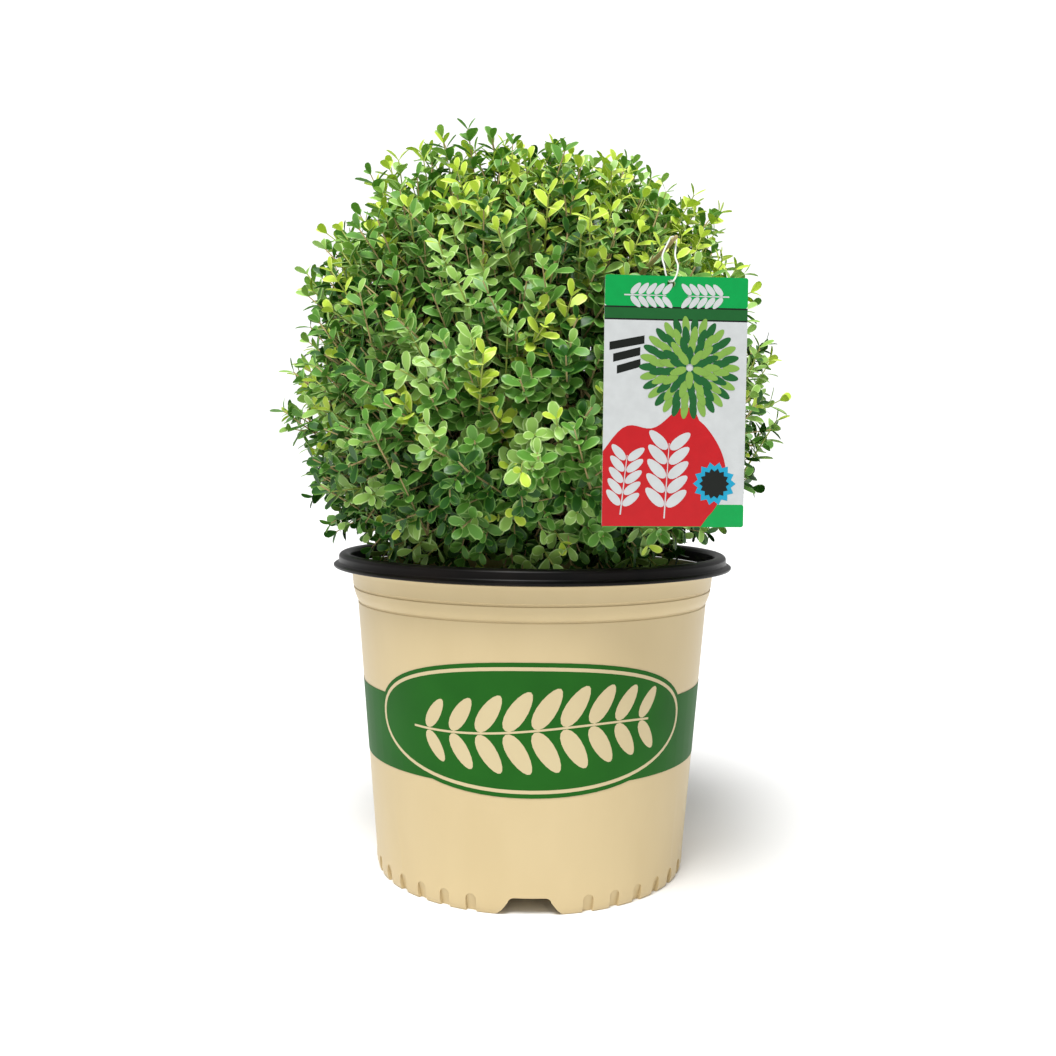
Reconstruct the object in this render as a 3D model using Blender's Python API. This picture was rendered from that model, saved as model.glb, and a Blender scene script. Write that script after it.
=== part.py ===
# Boxwood shrub clipped to a ball, in a three-gallon nursery pot, with a hang tag on a loop.
# Metres, +Z up. The pot's axis is the Z axis and its foot stands on z = 0; the front faces -Y.
# Azimuths run from +X (the right side) through +Y (the back).

import math
import random

import bmesh
import bpy
from mathutils import Matrix, Vector

SEED = 11
SEAT_GAP = 0.0003  # clear space between two pieces that touch

# Pot: a tapered wall with a stepped collar, a raised floor and a foot ring
POT_HEIGHT = 0.2115
FOOT_RADIUS = 0.1083
FOOT_BULGE = 0.0014
FOOT_HEIGHT = 0.0120
SKIRT_THICKNESS = 0.0058
WALL_THICKNESS = 0.0017
COLLAR_RADIUS = 0.1232  # outside of the wall where the collar begins
COLLAR_START = 0.1890
COLLAR_STEP = 0.0030
POT_MOUTH_RADIUS = 0.1300
POT_SEGMENTS = 60

# Foot: shallow flutes all round, with three drain notches in their place
DIVISIONS = 36
NOTCH_COUNT = 3
FLUTE_WIDTH = 0.0072
FLUTE_DEPTH = 0.0034
NOTCH_HEIGHT = 0.0115
NOTCH_TOP_WIDTH = 0.0230
NOTCH_FOOT_WIDTH = 0.0400
NOTCH_CORNER = 0.0030
DRAIN_HOLES = 6
DRAIN_HOLE_RADIUS = 0.0050
DRAIN_CIRCLE = 0.0720

# Rim: a rolled black ring with a thin lip at its lower edge
RIM_TOP = 0.2222
RIM_INNER = 0.1283
RIM_OUTER = 0.1365
RIM_LIP = 0.1400
RIM_SEGMENTS = 48

# Potting mix
SOIL_TOP = 0.2000
SOIL_DROP = 0.0040  # how far the mix falls from its middle to the wall

# Stem and boughs
STEM_FOOT_RADIUS = 0.0125
STEM_RADIUS = 0.0088
STEM_TIP_RADIUS = 0.0068
STEM_TIP = 0.2900
STEM_LEAN = Vector((0.0035, -0.0025, 0.0))
STEM_SIDES = 10
BOUGH_RADIUS = 0.0038
BOUGH_TIP_RADIUS = 0.0029
BOUGH_SIDES = 6
LOWER_BOUGH_START = 0.2360
UPPER_BOUGH_START = 0.2640
BOUGH_STAGGER = 0.0090
BOUGH_END = 0.0800  # distance of a bough's tip from the middle of the crown
BOUGH_SPRING_OUT = 0.0270  # a bough's curve: how it leaves the stem, out and up
BOUGH_SPRING_UP = 0.0170
BOUGH_APPROACH = 0.0300  # and the length of its straight run into its tip
LEADER_HANDLE = 0.0400

# Crown: a ball made of one top mass and two rings of masses
CROWN_MIDDLE = Vector((-0.0020, 0.0, 0.3380))
CROWN_REACH = 0.1710
CORE_SHARE = 0.82  # a mass's core ends at this share of the reach
CORE_SHARE_LOW = 0.88  # the same near the pot's mouth, where the foliage closes over the mix
CORE_FLOOR = 0.2060
CORE_START = 0.0880
UPPER_COUNT = 5
UPPER_ELEVATION = 38.0
LOWER_COUNT = 7
LOWER_ELEVATION = -12.0
LOWEST_TIP = -53.0
TIP_COUNT = 112
CELL_MARGIN = 0.00025
CORE_MARGIN = 0.0012
SKIRT_CLEARANCE = 0.0450  # lower masses stay this far out from the middle

# Branching inside a mass, as distances from the middle of the crown
MASS_FORK = 0.1040
LIMB_NODE = 0.1180
TWIG_BEND = 0.1260
HANGER_ROOT = 0.1200
LIMB_COUNT = 3
LIMB_RADIUS = 0.0026
LIMB_TIP_RADIUS = 0.0021
SHOOT_SPACING = 7.0  # degrees kept clear round a long shoot

# Lobes and hollows of the outline: azimuth, elevation, rise, spread in degrees
OUTLINE_LOBES = (
    (180, 54, 0.0140, 18),
    (180, 33, 0.0060, 9),
    (180, 12, -0.0060, 9),
    (180, -9, 0.0070, 8),
    (182, -34, 0.0070, 13),
    (0, 64, 0.0070, 14),
    (0, 42, 0.0100, 9),
    (0, 5, -0.0020, 10),
    (0, -24, 0.0060, 9),
    (0, -44, -0.0060, 10),
    (250, 12, 0.0040, 16),
    (100, 20, 0.0060, 16),
    (70, -20, 0.0050, 14),
    (130, 50, 0.0070, 14),
    (60, 52, 0.0040, 14),
    (250, 55, 0.0060, 14),
    (120, -35, 0.0050, 14),
)

# Single shoots that stand out of the ball: azimuth, elevation, reach
LONG_SHOOTS = (
    (190, 83, 0.1775),
    (20, 84, 0.1760),
    (182, 66, 0.1870),
    (176, 52, 0.1880),
    (185, 36, 0.1860),
    (180, 24, 0.1790),
    (183, -7, 0.1785),
    (178, -27, 0.1830),
    (184, -37, 0.1800),
    (174, -35, 0.1780),
    (-2, 66, 0.1800),
    (-4, 43, 0.1860),
    (2, 24, 0.1790),
    (5, -4, 0.1765),
    (-6, -24, 0.1790),
    (-3, -36, 0.1730),
    (92, 24, 0.1780),
    (75, -12, 0.1780),
    (268, -20, 0.1780),
    (262, 30, 0.1770),
)

# Twigs and leaves, about twice life size
TWIG_RADIUS = 0.0017
TWIG_TIP_RADIUS = 0.0011
LEAF_LENGTH = 0.0310
LEAF_WIDTH = 0.0180
LEAF_THICKNESS = 0.0011
LEAF_PAIRS = 2
PAIR_SPACING = 0.0110
PAIR_ANGLE = 52.0
TIP_ANGLE = 30.0

# Hang tag: a card with a hole near its top edge
CARD_WIDTH = 0.0825
CARD_HEIGHT = 0.1420
CARD_THICKNESS = 0.0006
CARD_CORNER = 0.0015
CARD_HOLE_RADIUS = 0.0023
CARD_HOLE_DROP = 0.0042  # from the top edge to the middle of the hole
CARD_HOLE_SHIFT = -0.0034  # from the card's middle towards its left edge
CARD_HOLE_PLACE = Vector((0.0762, -0.1586, 0.3874))
CARD_YAW = 6.0
LOOP_RADIUS = 0.0005
LOOP_POINTS = 30
HANGER_PLACE = Vector((0.0784, -0.1460, 0.4139))  # where the loop hangs on its twig
HANGER_RADIUS = 0.0012
HANGER_END = 0.0060  # length of the twig beyond the loop


def clear_scene():
    for old in list(bpy.data.objects):
        bpy.data.objects.remove(old, do_unlink=True)


def material(name, colour, roughness, metallic=0.0):
    made = bpy.data.materials.new(name)
    made.use_nodes = True
    shader = made.node_tree.nodes["Principled BSDF"]
    shader.inputs["Base Color"].default_value = (*colour, 1.0)
    shader.inputs["Roughness"].default_value = roughness
    shader.inputs["Metallic"].default_value = metallic
    return made


def object_from(bm, name, finish=None):
    mesh = bpy.data.meshes.new(name)
    bm.to_mesh(mesh)
    bm.free()
    made = bpy.data.objects.new(name, mesh)
    bpy.context.scene.collection.objects.link(made)
    if finish:
        mesh.materials.append(finish)
    return made


def smooth(made, degrees=35.0):
    made.data.shade_smooth()
    made.data.set_sharp_from_angle(angle=math.radians(degrees))


def applied(made):
    """The object's mesh with its modifiers applied, left on the object in their place."""
    graph = bpy.context.evaluated_depsgraph_get()
    mesh = bpy.data.meshes.new_from_object(made.evaluated_get(graph))
    old = made.data
    made.modifiers.clear()
    made.data = mesh
    bpy.data.meshes.remove(old)


def direction(azimuth, elevation):
    turn, rise = math.radians(azimuth), math.radians(elevation)
    return Vector((math.cos(rise) * math.cos(turn), math.cos(rise) * math.sin(turn), math.sin(rise)))


def turned(name, profile, segments, finish, closed):
    """A solid turned from points of radius and height. An open profile starts and ends on the axis."""
    bm = bmesh.new()
    corners = [bm.verts.new((radius, 0.0, height)) for radius, height in profile]
    edges = [bm.edges.new(pair) for pair in zip(corners, corners[1:])]
    if closed:
        edges.append(bm.edges.new((corners[-1], corners[0])))
    bmesh.ops.spin(
        bm,
        geom=corners + edges,
        cent=(0, 0, 0),
        axis=(0, 0, 1),
        angle=math.tau,
        steps=segments,
        use_merge=True,
    )
    bmesh.ops.remove_doubles(bm, verts=bm.verts, dist=0.000001)
    bmesh.ops.recalc_face_normals(bm, faces=bm.faces)
    return object_from(bm, name, finish)


def tube(points, radii, sides, first=None, last=None):
    """A closed tapering tube through the points; first and last are the directions it starts and ends in."""
    bm = bmesh.new()
    rings = []
    side = None
    for index, (point, radius) in enumerate(zip(points, radii)):
        before = points[max(index - 1, 0)]
        after = points[min(index + 1, len(points) - 1)]
        along = (after - before).normalized()
        if index == 0 and first:
            along = first.normalized()
        if index == len(points) - 1 and last:
            along = last.normalized()
        if side is None:
            side = along.orthogonal().normalized()
        side = (side - along * side.dot(along)).normalized()
        across = along.cross(side)
        ring = []
        for corner in range(sides):
            angle = math.tau * corner / sides
            place = point + (side * math.cos(angle) + across * math.sin(angle)) * radius
            ring.append(bm.verts.new(place))
        rings.append(ring)
    for near, far in zip(rings, rings[1:]):
        for corner in range(sides):
            follow = (corner + 1) % sides
            bm.faces.new((near[corner], near[follow], far[follow], far[corner]))
    bm.faces.new(rings[0][::-1])
    bm.faces.new(rings[-1])
    return bm


def bezier(start, start_handle, end_handle, end, count):
    points = []
    for index in range(count):
        t = index / (count - 1)
        s = 1.0 - t
        points.append(
            start * s**3
            + start_handle * 3.0 * s * s * t
            + end_handle * 3.0 * s * t * t
            + end * t**3
        )
    return points


def blend(first, second, share):
    return first + (second - first) * share


# Pot, rim and potting mix


def arch_cutter(bm, azimuth, outline, inner_radius, outer_radius):
    """Adds a prism along a radius; inner_radius gives the radius of its inner face at a height."""
    turn = math.radians(azimuth)
    out = Vector((math.cos(turn), math.sin(turn), 0.0))
    across = Vector((-math.sin(turn), math.cos(turn), 0.0))
    inner, outer = [], []
    for sideways, height in outline:
        up = Vector((0.0, 0.0, height))
        inner.append(bm.verts.new(out * inner_radius(height) + across * sideways + up))
        outer.append(bm.verts.new(out * outer_radius + across * sideways + up))
    count = len(outline)
    for index in range(count):
        follow = (index + 1) % count
        bm.faces.new((inner[index], inner[follow], outer[follow], outer[index]))
    bm.faces.new(inner[::-1])
    bm.faces.new(outer)


def flute_outline():
    half = FLUTE_WIDTH / 2
    points = [(half, -0.002)]
    for step in range(5):
        angle = math.pi * step / 4
        points.append((half * math.cos(angle), FOOT_HEIGHT - half + half * math.sin(angle)))
    points.append((-half, -0.002))
    return points


def notch_outline():
    slope = (NOTCH_FOOT_WIDTH - NOTCH_TOP_WIDTH) / 2 / NOTCH_HEIGHT
    below = 0.002
    right = [
        (NOTCH_FOOT_WIDTH / 2 + NOTCH_CORNER + slope * below, -below),
        (NOTCH_FOOT_WIDTH / 2 + NOTCH_CORNER * 0.45, NOTCH_CORNER * 0.05),
        (NOTCH_FOOT_WIDTH / 2 - slope * NOTCH_CORNER, NOTCH_CORNER),
        (NOTCH_TOP_WIDTH / 2 + slope * NOTCH_CORNER, NOTCH_HEIGHT - NOTCH_CORNER),
        (NOTCH_TOP_WIDTH / 2 + NOTCH_CORNER * 0.15, NOTCH_HEIGHT - NOTCH_CORNER * 0.35),
        (NOTCH_TOP_WIDTH / 2 - NOTCH_CORNER * 0.6, NOTCH_HEIGHT),
    ]
    return right + [(-sideways, height) for sideways, height in reversed(right)]


def foot_cutters():
    """The flutes, notches and drain holes as one set of loose prisms, taken out of the pot."""
    bm = bmesh.new()
    notch_every = DIVISIONS // NOTCH_COUNT
    outer = FOOT_RADIUS + 0.008
    flute_top = FOOT_RADIUS + FOOT_BULGE - 0.0004

    def flute_floor(height):
        return blend(FOOT_RADIUS - FLUTE_DEPTH, flute_top, max(height, 0.0) / FOOT_HEIGHT)

    def notch_floor(height):
        return FOOT_RADIUS - SKIRT_THICKNESS - 0.004

    for division in range(DIVISIONS):
        azimuth = 270 + division * 360 / DIVISIONS
        place = division % notch_every
        if place == 0:
            arch_cutter(bm, azimuth, notch_outline(), notch_floor, outer)
        elif 2 <= place <= notch_every - 2:
            arch_cutter(bm, azimuth, flute_outline(), flute_floor, outer)
    for hole in range(DRAIN_HOLES):
        place = direction(270 + (hole + 0.5) * 360 / DRAIN_HOLES, 0) * DRAIN_CIRCLE
        place.z = FOOT_HEIGHT + WALL_THICKNESS / 2
        bmesh.ops.create_cone(
            bm,
            cap_ends=True,
            segments=10,
            radius1=DRAIN_HOLE_RADIUS,
            radius2=DRAIN_HOLE_RADIUS,
            depth=WALL_THICKNESS * 3,
            matrix=Matrix.Translation(place),
        )
    bmesh.ops.recalc_face_normals(bm, faces=bm.faces)
    cutters = object_from(bm, "foot_cutters")
    cutters.hide_render = True
    cutters.display_type = "WIRE"
    return cutters


def wall_radius(height):
    """Outside radius of the plain tapered wall."""
    share = (height - FOOT_HEIGHT) / (COLLAR_START - FOOT_HEIGHT)
    return blend(FOOT_RADIUS + FOOT_BULGE, COLLAR_RADIUS, share)


def pot():
    cream = material("cream_plastic", (0.73, 0.58, 0.33), 0.42)
    floor_top = FOOT_HEIGHT + WALL_THICKNESS
    inner_foot = FOOT_RADIUS - SKIRT_THICKNESS
    outer_wall = [
        (FOOT_RADIUS, 0.0),
        (FOOT_RADIUS + FOOT_BULGE * 0.85, FOOT_HEIGHT * 0.4),
        (FOOT_RADIUS + FOOT_BULGE, FOOT_HEIGHT),
        (COLLAR_RADIUS, COLLAR_START),
        (COLLAR_RADIUS + COLLAR_STEP, COLLAR_START + 0.0090),
        (COLLAR_RADIUS + COLLAR_STEP * 1.35, COLLAR_START + 0.0185),
        (POT_MOUTH_RADIUS, POT_HEIGHT),
    ]
    inner_wall = [
        (RIM_INNER, POT_HEIGHT),
        (COLLAR_RADIUS + COLLAR_STEP - WALL_THICKNESS, COLLAR_START + 0.0105),
        (COLLAR_RADIUS - WALL_THICKNESS, COLLAR_START - 0.0010),
        (wall_radius(floor_top) - WALL_THICKNESS, floor_top),
        (0.0, floor_top),
    ]
    under_floor = [(0.0, FOOT_HEIGHT), (inner_foot - 0.001, FOOT_HEIGHT), (inner_foot, 0.0)]
    profile = under_floor + outer_wall + inner_wall
    made = turned("pot", profile, POT_SEGMENTS, cream, closed=False)
    cut = made.modifiers.new("foot", "BOOLEAN")
    cut.operation = "DIFFERENCE"
    cut.object = foot_cutters()
    smooth(made)
    return made


def pot_rim():
    black = material("black_plastic", (0.012, 0.011, 0.010), 0.28)
    low = POT_HEIGHT + SEAT_GAP
    roll = (RIM_OUTER - RIM_INNER) / 2
    middle = (RIM_OUTER + RIM_INNER) / 2
    crest = RIM_TOP - roll * 0.75
    profile = [(RIM_INNER, low)]
    for step in range(6):
        angle = math.pi - math.pi * step / 5
        profile.append((middle + roll * math.cos(angle), crest + roll * 0.75 * math.sin(angle)))
    profile += [
        (RIM_OUTER, low + 0.0034),
        (RIM_LIP, low + 0.0026),
        (RIM_LIP, low + 0.0008),
        (POT_MOUTH_RADIUS + 0.001, low),
    ]
    made = turned("pot_rim", profile, RIM_SEGMENTS, black, closed=True)
    smooth(made)
    return made


def soil():
    brown = material("potting_mix", (0.045, 0.030, 0.020), 0.95)
    floor_top = FOOT_HEIGHT + WALL_THICKNESS + SEAT_GAP
    foot = wall_radius(floor_top) - WALL_THICKNESS - SEAT_GAP * 2
    wall_top = COLLAR_START - 0.0010
    shoulder = COLLAR_RADIUS - WALL_THICKNESS - SEAT_GAP * 2
    edge = SOIL_TOP - SOIL_DROP
    profile = [
        (0.0, floor_top),
        (foot, floor_top),
        (shoulder, wall_top),
        (shoulder + 0.0012, edge),
        (shoulder * 0.75, blend(edge, SOIL_TOP, 0.55)),
        (0.045, SOIL_TOP),
        (0.0, SOIL_TOP),
    ]
    made = turned("soil", profile, POT_SEGMENTS // 2, brown, closed=False)
    smooth(made)
    return made


# Stem and boughs


def stem_axis(height):
    share = (height - SOIL_TOP) / (STEM_TIP - SOIL_TOP)
    bend = 0.6 * share + 0.4 * share * share
    return Vector((0.0, 0.0, height)) + STEM_LEAN * bend


def stem_mesh(grown=0.0):
    """The main stem from its flat cut on the mix to its fork; grown thickens it for a cutter."""
    foot = SOIL_TOP + SEAT_GAP
    heights = [foot, foot + 0.004, foot + 0.010, foot + 0.020, foot + 0.045, STEM_TIP]
    radii = [
        STEM_FOOT_RADIUS,
        blend(STEM_FOOT_RADIUS, STEM_RADIUS, 0.45),
        blend(STEM_FOOT_RADIUS, STEM_RADIUS, 0.75),
        STEM_RADIUS,
        STEM_RADIUS * 0.94,
        STEM_TIP_RADIUS,
    ]
    points = [stem_axis(height) for height in heights]
    points[-1].z += grown
    up = Vector((0.0, 0.0, 1.0))
    return tube(points, [radius + grown for radius in radii], STEM_SIDES, first=up, last=up)


def main_stem(bark):
    made = object_from(stem_mesh(), "main_stem", bark)
    smooth(made, 50.0)
    return made


def bough(name, start, toward, bark):
    """One limb from the stem's axis, cut off clear of the stem, to its tip at a mass."""
    tip = CROWN_MIDDLE + toward * BOUGH_END
    flat = Vector((toward.x, toward.y, 0.0)).normalized()
    points = bezier(
        start,
        start + flat * BOUGH_SPRING_OUT + Vector((0.0, 0.0, BOUGH_SPRING_UP)),
        tip - toward * BOUGH_APPROACH,
        tip,
        6,
    )
    radii = [blend(BOUGH_RADIUS, BOUGH_TIP_RADIUS, index / 5) for index in range(6)]
    made = object_from(tube(points, radii, BOUGH_SIDES, last=toward), name, bark)
    cutter = object_from(stem_mesh(SEAT_GAP), name + "_seat")
    cut = made.modifiers.new("seat", "BOOLEAN")
    cut.operation = "DIFFERENCE"
    cut.object = cutter
    applied(made)
    bpy.data.objects.remove(cutter, do_unlink=True)
    keep_main_body(made)
    smooth(made, 50.0)
    return made


def top_bough(name, bark):
    """The leader, on the stem's flat tip and in line with it."""
    start = stem_axis(STEM_TIP) + Vector((0.0, 0.0, SEAT_GAP))
    up = Vector((0.0, 0.0, 1.0))
    tip = CROWN_MIDDLE + up * BOUGH_END
    points = bezier(start, start + up * LEADER_HANDLE, tip - up * LEADER_HANDLE, tip, 5)
    radii = [blend(STEM_TIP_RADIUS * 0.85, BOUGH_TIP_RADIUS, index / 4) for index in range(5)]
    made = object_from(tube(points, radii, BOUGH_SIDES, first=up, last=up), name, bark)
    smooth(made, 50.0)
    return made


# Foliage masses


class Mass:
    """One mass of foliage: its name, its direction from the middle of the crown, and its space."""

    def __init__(self, name, toward):
        self.name = name
        self.toward = toward
        self.walls = []
        self.tips = []

    def add_wall(self, normal, start):
        """A plane that the mass stays beyond: its normal points into the mass's space."""
        self.walls.append((normal.normalized(), start))

    def holds(self, places, margin=CELL_MARGIN):
        return all(
            (place - CROWN_MIDDLE).dot(normal) >= start + margin
            for place in places
            for normal, start in self.walls
        )


def masses():
    made = [Mass("foliage_top", Vector((0.0, 0.0, 1.0)))]
    for index in range(UPPER_COUNT):
        azimuth = 270 - index * 360 / UPPER_COUNT
        made.append(Mass(f"foliage_upper_{index + 1}", direction(azimuth, UPPER_ELEVATION)))
    for index in range(LOWER_COUNT):
        azimuth = 270 - (index + 0.5) * 360 / LOWER_COUNT
        made.append(Mass(f"foliage_lower_{index + 1}", direction(azimuth, LOWER_ELEVATION)))
    for one in made:
        for other in made:
            if other is not one:
                one.add_wall(one.toward - other.toward, 0.0)
        if "lower" in one.name:
            one.add_wall(Vector((one.toward.x, one.toward.y, 0.0)), SKIRT_CLEARANCE)
    return made


def crown_reach(toward):
    """How far the crown's tips reach in a direction."""
    reach = CROWN_REACH
    for azimuth, elevation, rise, spread in OUTLINE_LOBES:
        away = math.degrees(toward.angle(direction(azimuth, elevation)))
        reach += rise * math.exp(-((away / spread) ** 2))
    return reach


def share_tips(all_masses):
    """Deals even tip directions and the long shoots out to the masses that they lie in."""
    rng = random.Random(SEED)
    lowest = math.sin(math.radians(LOWEST_TIP))
    tips = [(direction(azimuth, elevation), reach) for azimuth, elevation, reach in LONG_SHOOTS]
    long_count = len(tips)
    for index in range(TIP_COUNT):
        height = 1.0 - (index + 0.5) / TIP_COUNT * (1.0 - lowest)
        turn = index * math.pi * (3.0 - math.sqrt(5.0)) + rng.uniform(-0.05, 0.05)
        level = math.sqrt(1.0 - height * height)
        toward = Vector((level * math.cos(turn), level * math.sin(turn), height))
        nearest = min(toward.angle(tips[shoot][0]) for shoot in range(long_count))
        if nearest >= math.radians(SHOOT_SPACING):
            tips.append((toward, crown_reach(toward) * rng.uniform(0.975, 1.0)))
    for toward, reach in tips:
        home = max(all_masses, key=lambda mass: mass.toward.dot(toward))
        home.tips.append((toward, reach))


def core(mass):
    """The dense inside of a mass: its share of a lumpy ball, cut flat where it faces its neighbours."""
    bm = bmesh.new()
    bmesh.ops.create_icosphere(bm, subdivisions=3, radius=1.0)
    for vert in bm.verts:
        toward = vert.co.normalized()
        low = min(max((-toward.z - 0.35) / 0.30, 0.0), 1.0)
        vert.co = toward * crown_reach(toward) * blend(CORE_SHARE, CORE_SHARE_LOW, low)
    walls = mass.walls + [(mass.toward, CORE_START)]
    if "lower" in mass.name:
        walls.append((Vector((0.0, 0.0, 1.0)), CORE_FLOOR - CROWN_MIDDLE.z))
    for normal, start in walls:
        cut = bmesh.ops.bisect_plane(
            bm,
            geom=list(bm.verts) + list(bm.edges) + list(bm.faces),
            dist=0.000001,
            plane_co=normal * (start + CORE_MARGIN),
            plane_no=-normal,
            clear_outer=True,
        )
        rim = [item for item in cut["geom_cut"] if isinstance(item, bmesh.types.BMEdge)]
        if rim:
            bmesh.ops.holes_fill(bm, edges=rim, sides=0)
    bmesh.ops.translate(bm, vec=CROWN_MIDDLE, verts=bm.verts)
    bmesh.ops.triangulate(bm, faces=bm.faces)
    return bm


def leaf(root, along, face, size):
    """A leaf as a flat kite, thickest in its middle; face is the way its upper side looks."""
    across = along.cross(face).normalized()
    normal = across.cross(along).normalized()
    middle = root + along * size * LEAF_LENGTH * 0.58
    half = across * size * LEAF_WIDTH / 2
    ring = [root, middle + half, root + along * size * LEAF_LENGTH, middle - half]
    return ring, [middle + normal * LEAF_THICKNESS / 2, middle - normal * LEAF_THICKNESS / 2]


def leaf_mesh(ring, poles):
    bm = bmesh.new()
    corners = [bm.verts.new(place) for place in ring]
    for pole, step in zip(poles, (-1, 1)):
        peak = bm.verts.new(pole)
        for index in range(4):
            bm.faces.new((corners[index], corners[(index + step) % 4], peak))
    return bm


def clear_of_pot(places):
    """True if the points lie above the mix, and above the rim where they reach out to it."""
    widest = max(math.hypot(place.x, place.y) for place in places)
    lowest = min(place.z for place in places)
    floor = SOIL_TOP if widest < RIM_INNER - 0.002 else RIM_TOP
    return lowest > floor + 0.001


def clear_of_tag(places):
    """True if the points' box, in the card's own directions, misses the card and its loop."""
    to_card = card_matrix().inverted()
    own = [to_card @ place for place in places]
    low = Vector([min(place[axis] for place in own) for axis in range(3)])
    high = Vector([max(place[axis] for place in own) for axis in range(3)])
    for box_low, box_high in tag_boxes():
        if all(low[axis] < box_high[axis] and high[axis] > box_low[axis] for axis in range(3)):
            return False
    return True


def grow(mass, rng):
    """The mass's parts: its stem, limbs that share the tips among them, twigs, and leaves in pairs."""
    parts = []
    start = CROWN_MIDDLE + mass.toward * (BOUGH_END + SEAT_GAP)
    fork = CROWN_MIDDLE + mass.toward * MASS_FORK
    thick = BOUGH_TIP_RADIUS
    parts.append(tube([start, fork], [thick, thick * 0.9], BOUGH_SIDES, mass.toward, mass.toward))
    for limb in split_tips(mass, LIMB_COUNT):
        middle = sum((toward for toward, reach in limb), Vector()).normalized()
        node = CROWN_MIDDLE + blend(mass.toward, middle, 0.7).normalized() * LIMB_NODE
        root = fork - mass.toward * 0.002
        parts.append(tube([root, node], [LIMB_RADIUS, LIMB_TIP_RADIUS], 3))
        for toward, reach in limb:
            parts += twig(mass, node, middle, toward, reach, rng)
    return parts


def split_tips(mass, count):
    """The tips in groups, by their bearing round the mass's own direction."""
    side = mass.toward.orthogonal().normalized()
    across = mass.toward.cross(side)

    def bearing(tip):
        return math.atan2(tip[0].dot(across), tip[0].dot(side))

    ordered = sorted(mass.tips, key=bearing)
    size = math.ceil(len(ordered) / count)
    return [ordered[first : first + size] for first in range(0, len(ordered), size)]


def twig(mass, node, limb_toward, toward, reach, rng):
    """A twig from its limb to just short of the outline, with opposite leaves at its outer end."""
    end = CROWN_MIDDLE + toward * (reach - LEAF_LENGTH * 0.86)
    bend = CROWN_MIDDLE + blend(limb_toward, toward, 0.75).normalized() * TWIG_BEND
    path = [node - (bend - node) * 0.08, bend, end]
    radii = [TWIG_RADIUS, TWIG_RADIUS * 0.9, TWIG_TIP_RADIUS]
    if not mass.holds([end], TWIG_RADIUS + CELL_MARGIN) or not clear_of_pot([end]):
        return []
    if not clear_of_tag([end, bend]):
        return []
    parts = [tube(path, radii, 3, last=end - bend)]
    along = (end - bend).normalized()
    parts += leaf_pairs(mass, end, along, rng)
    return parts


def leaf_pairs(mass, end, along, rng, pairs=LEAF_PAIRS, size=1.0):
    """Opposite pairs from the tip back, each turned a quarter from the one before."""
    parts = []
    side = along.orthogonal().normalized()
    side = Matrix.Rotation(rng.uniform(0.0, math.pi), 3, along) @ side
    for pair in range(pairs):
        back = TWIG_TIP_RADIUS * 0.8 + pair * PAIR_SPACING
        spot = end - along * back
        lean = math.radians((TIP_ANGLE if pair == 0 else PAIR_ANGLE) + rng.uniform(-8.0, 8.0))
        for sign in (-1.0, 1.0):
            out = (along * math.cos(lean) + side * sign * math.sin(lean)).normalized()
            root = spot - out * TWIG_TIP_RADIUS * 0.6
            ring, poles = leaf(root, out, along, size)
            if not mass.holds(ring + poles) or not clear_of_pot(ring):
                continue
            if clear_of_tag(ring):
                parts.append(leaf_mesh(ring, poles))
        side = along.cross(side).normalized()
    return parts


def keep_main_body(made):
    """Keeps the largest closed body: a sealed hollow is filled and a loose scrap is dropped."""
    bm = bmesh.new()
    bm.from_mesh(made.data)
    bmesh.ops.triangulate(bm, faces=bm.faces)
    left = set(bm.verts)
    bodies = []
    while left:
        found = {left.pop()}
        todo = list(found)
        while todo:
            for edge in todo.pop().link_edges:
                for vert in edge.verts:
                    if vert in left:
                        left.discard(vert)
                        found.add(vert)
                        todo.append(vert)
        faces = {face for vert in found for face in vert.link_faces}
        volume = 0.0
        for face in faces:
            first, second, third = (vert.co for vert in face.verts)
            volume += first.dot(second.cross(third)) / 6.0
        bodies.append((volume, found))
    largest = max(bodies, key=lambda body: body[0])[1]
    scraps = [vert for vert in bm.verts if vert not in largest]
    bmesh.ops.delete(bm, geom=scraps, context="VERTS")
    bm.to_mesh(made.data)
    bm.free()


def fuse(name, parts, finish, solver="EXACT"):
    """One solid from many overlapping closed ones: the first takes all others in by one union."""
    made = object_from(parts[0], name, finish)
    others = bpy.data.collections.new(name + "_parts")
    bpy.context.scene.collection.children.link(others)
    for index, part in enumerate(parts[1:]):
        piece = object_from(part, f"{name}_part_{index}")
        bpy.context.scene.collection.objects.unlink(piece)
        others.objects.link(piece)
    union = made.modifiers.new("union", "BOOLEAN")
    union.operation = "UNION"
    union.operand_type = "COLLECTION"
    union.collection = others
    union.solver = solver
    applied(made)
    for piece in list(others.objects):
        bpy.data.objects.remove(piece, do_unlink=True)
    bpy.data.collections.remove(others)
    keep_main_body(made)
    made.data.materials.clear()
    made.data.materials.append(finish)
    return made


def foliage(mass, greens, index, rng):
    parts = [core(mass)] + grow(mass, rng)
    if mass.holds([HANGER_PLACE]):
        parts += hanger_twig(mass, rng)
    return fuse(mass.name, parts, greens[index % len(greens)])


# Hang tag


def card_matrix():
    """The card's frame: its hole's middle, X across the card, Y towards the crown, Z up."""
    turn = Matrix.Rotation(math.radians(CARD_YAW), 4, "Z")
    return Matrix.Translation(CARD_HOLE_PLACE) @ turn


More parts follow.
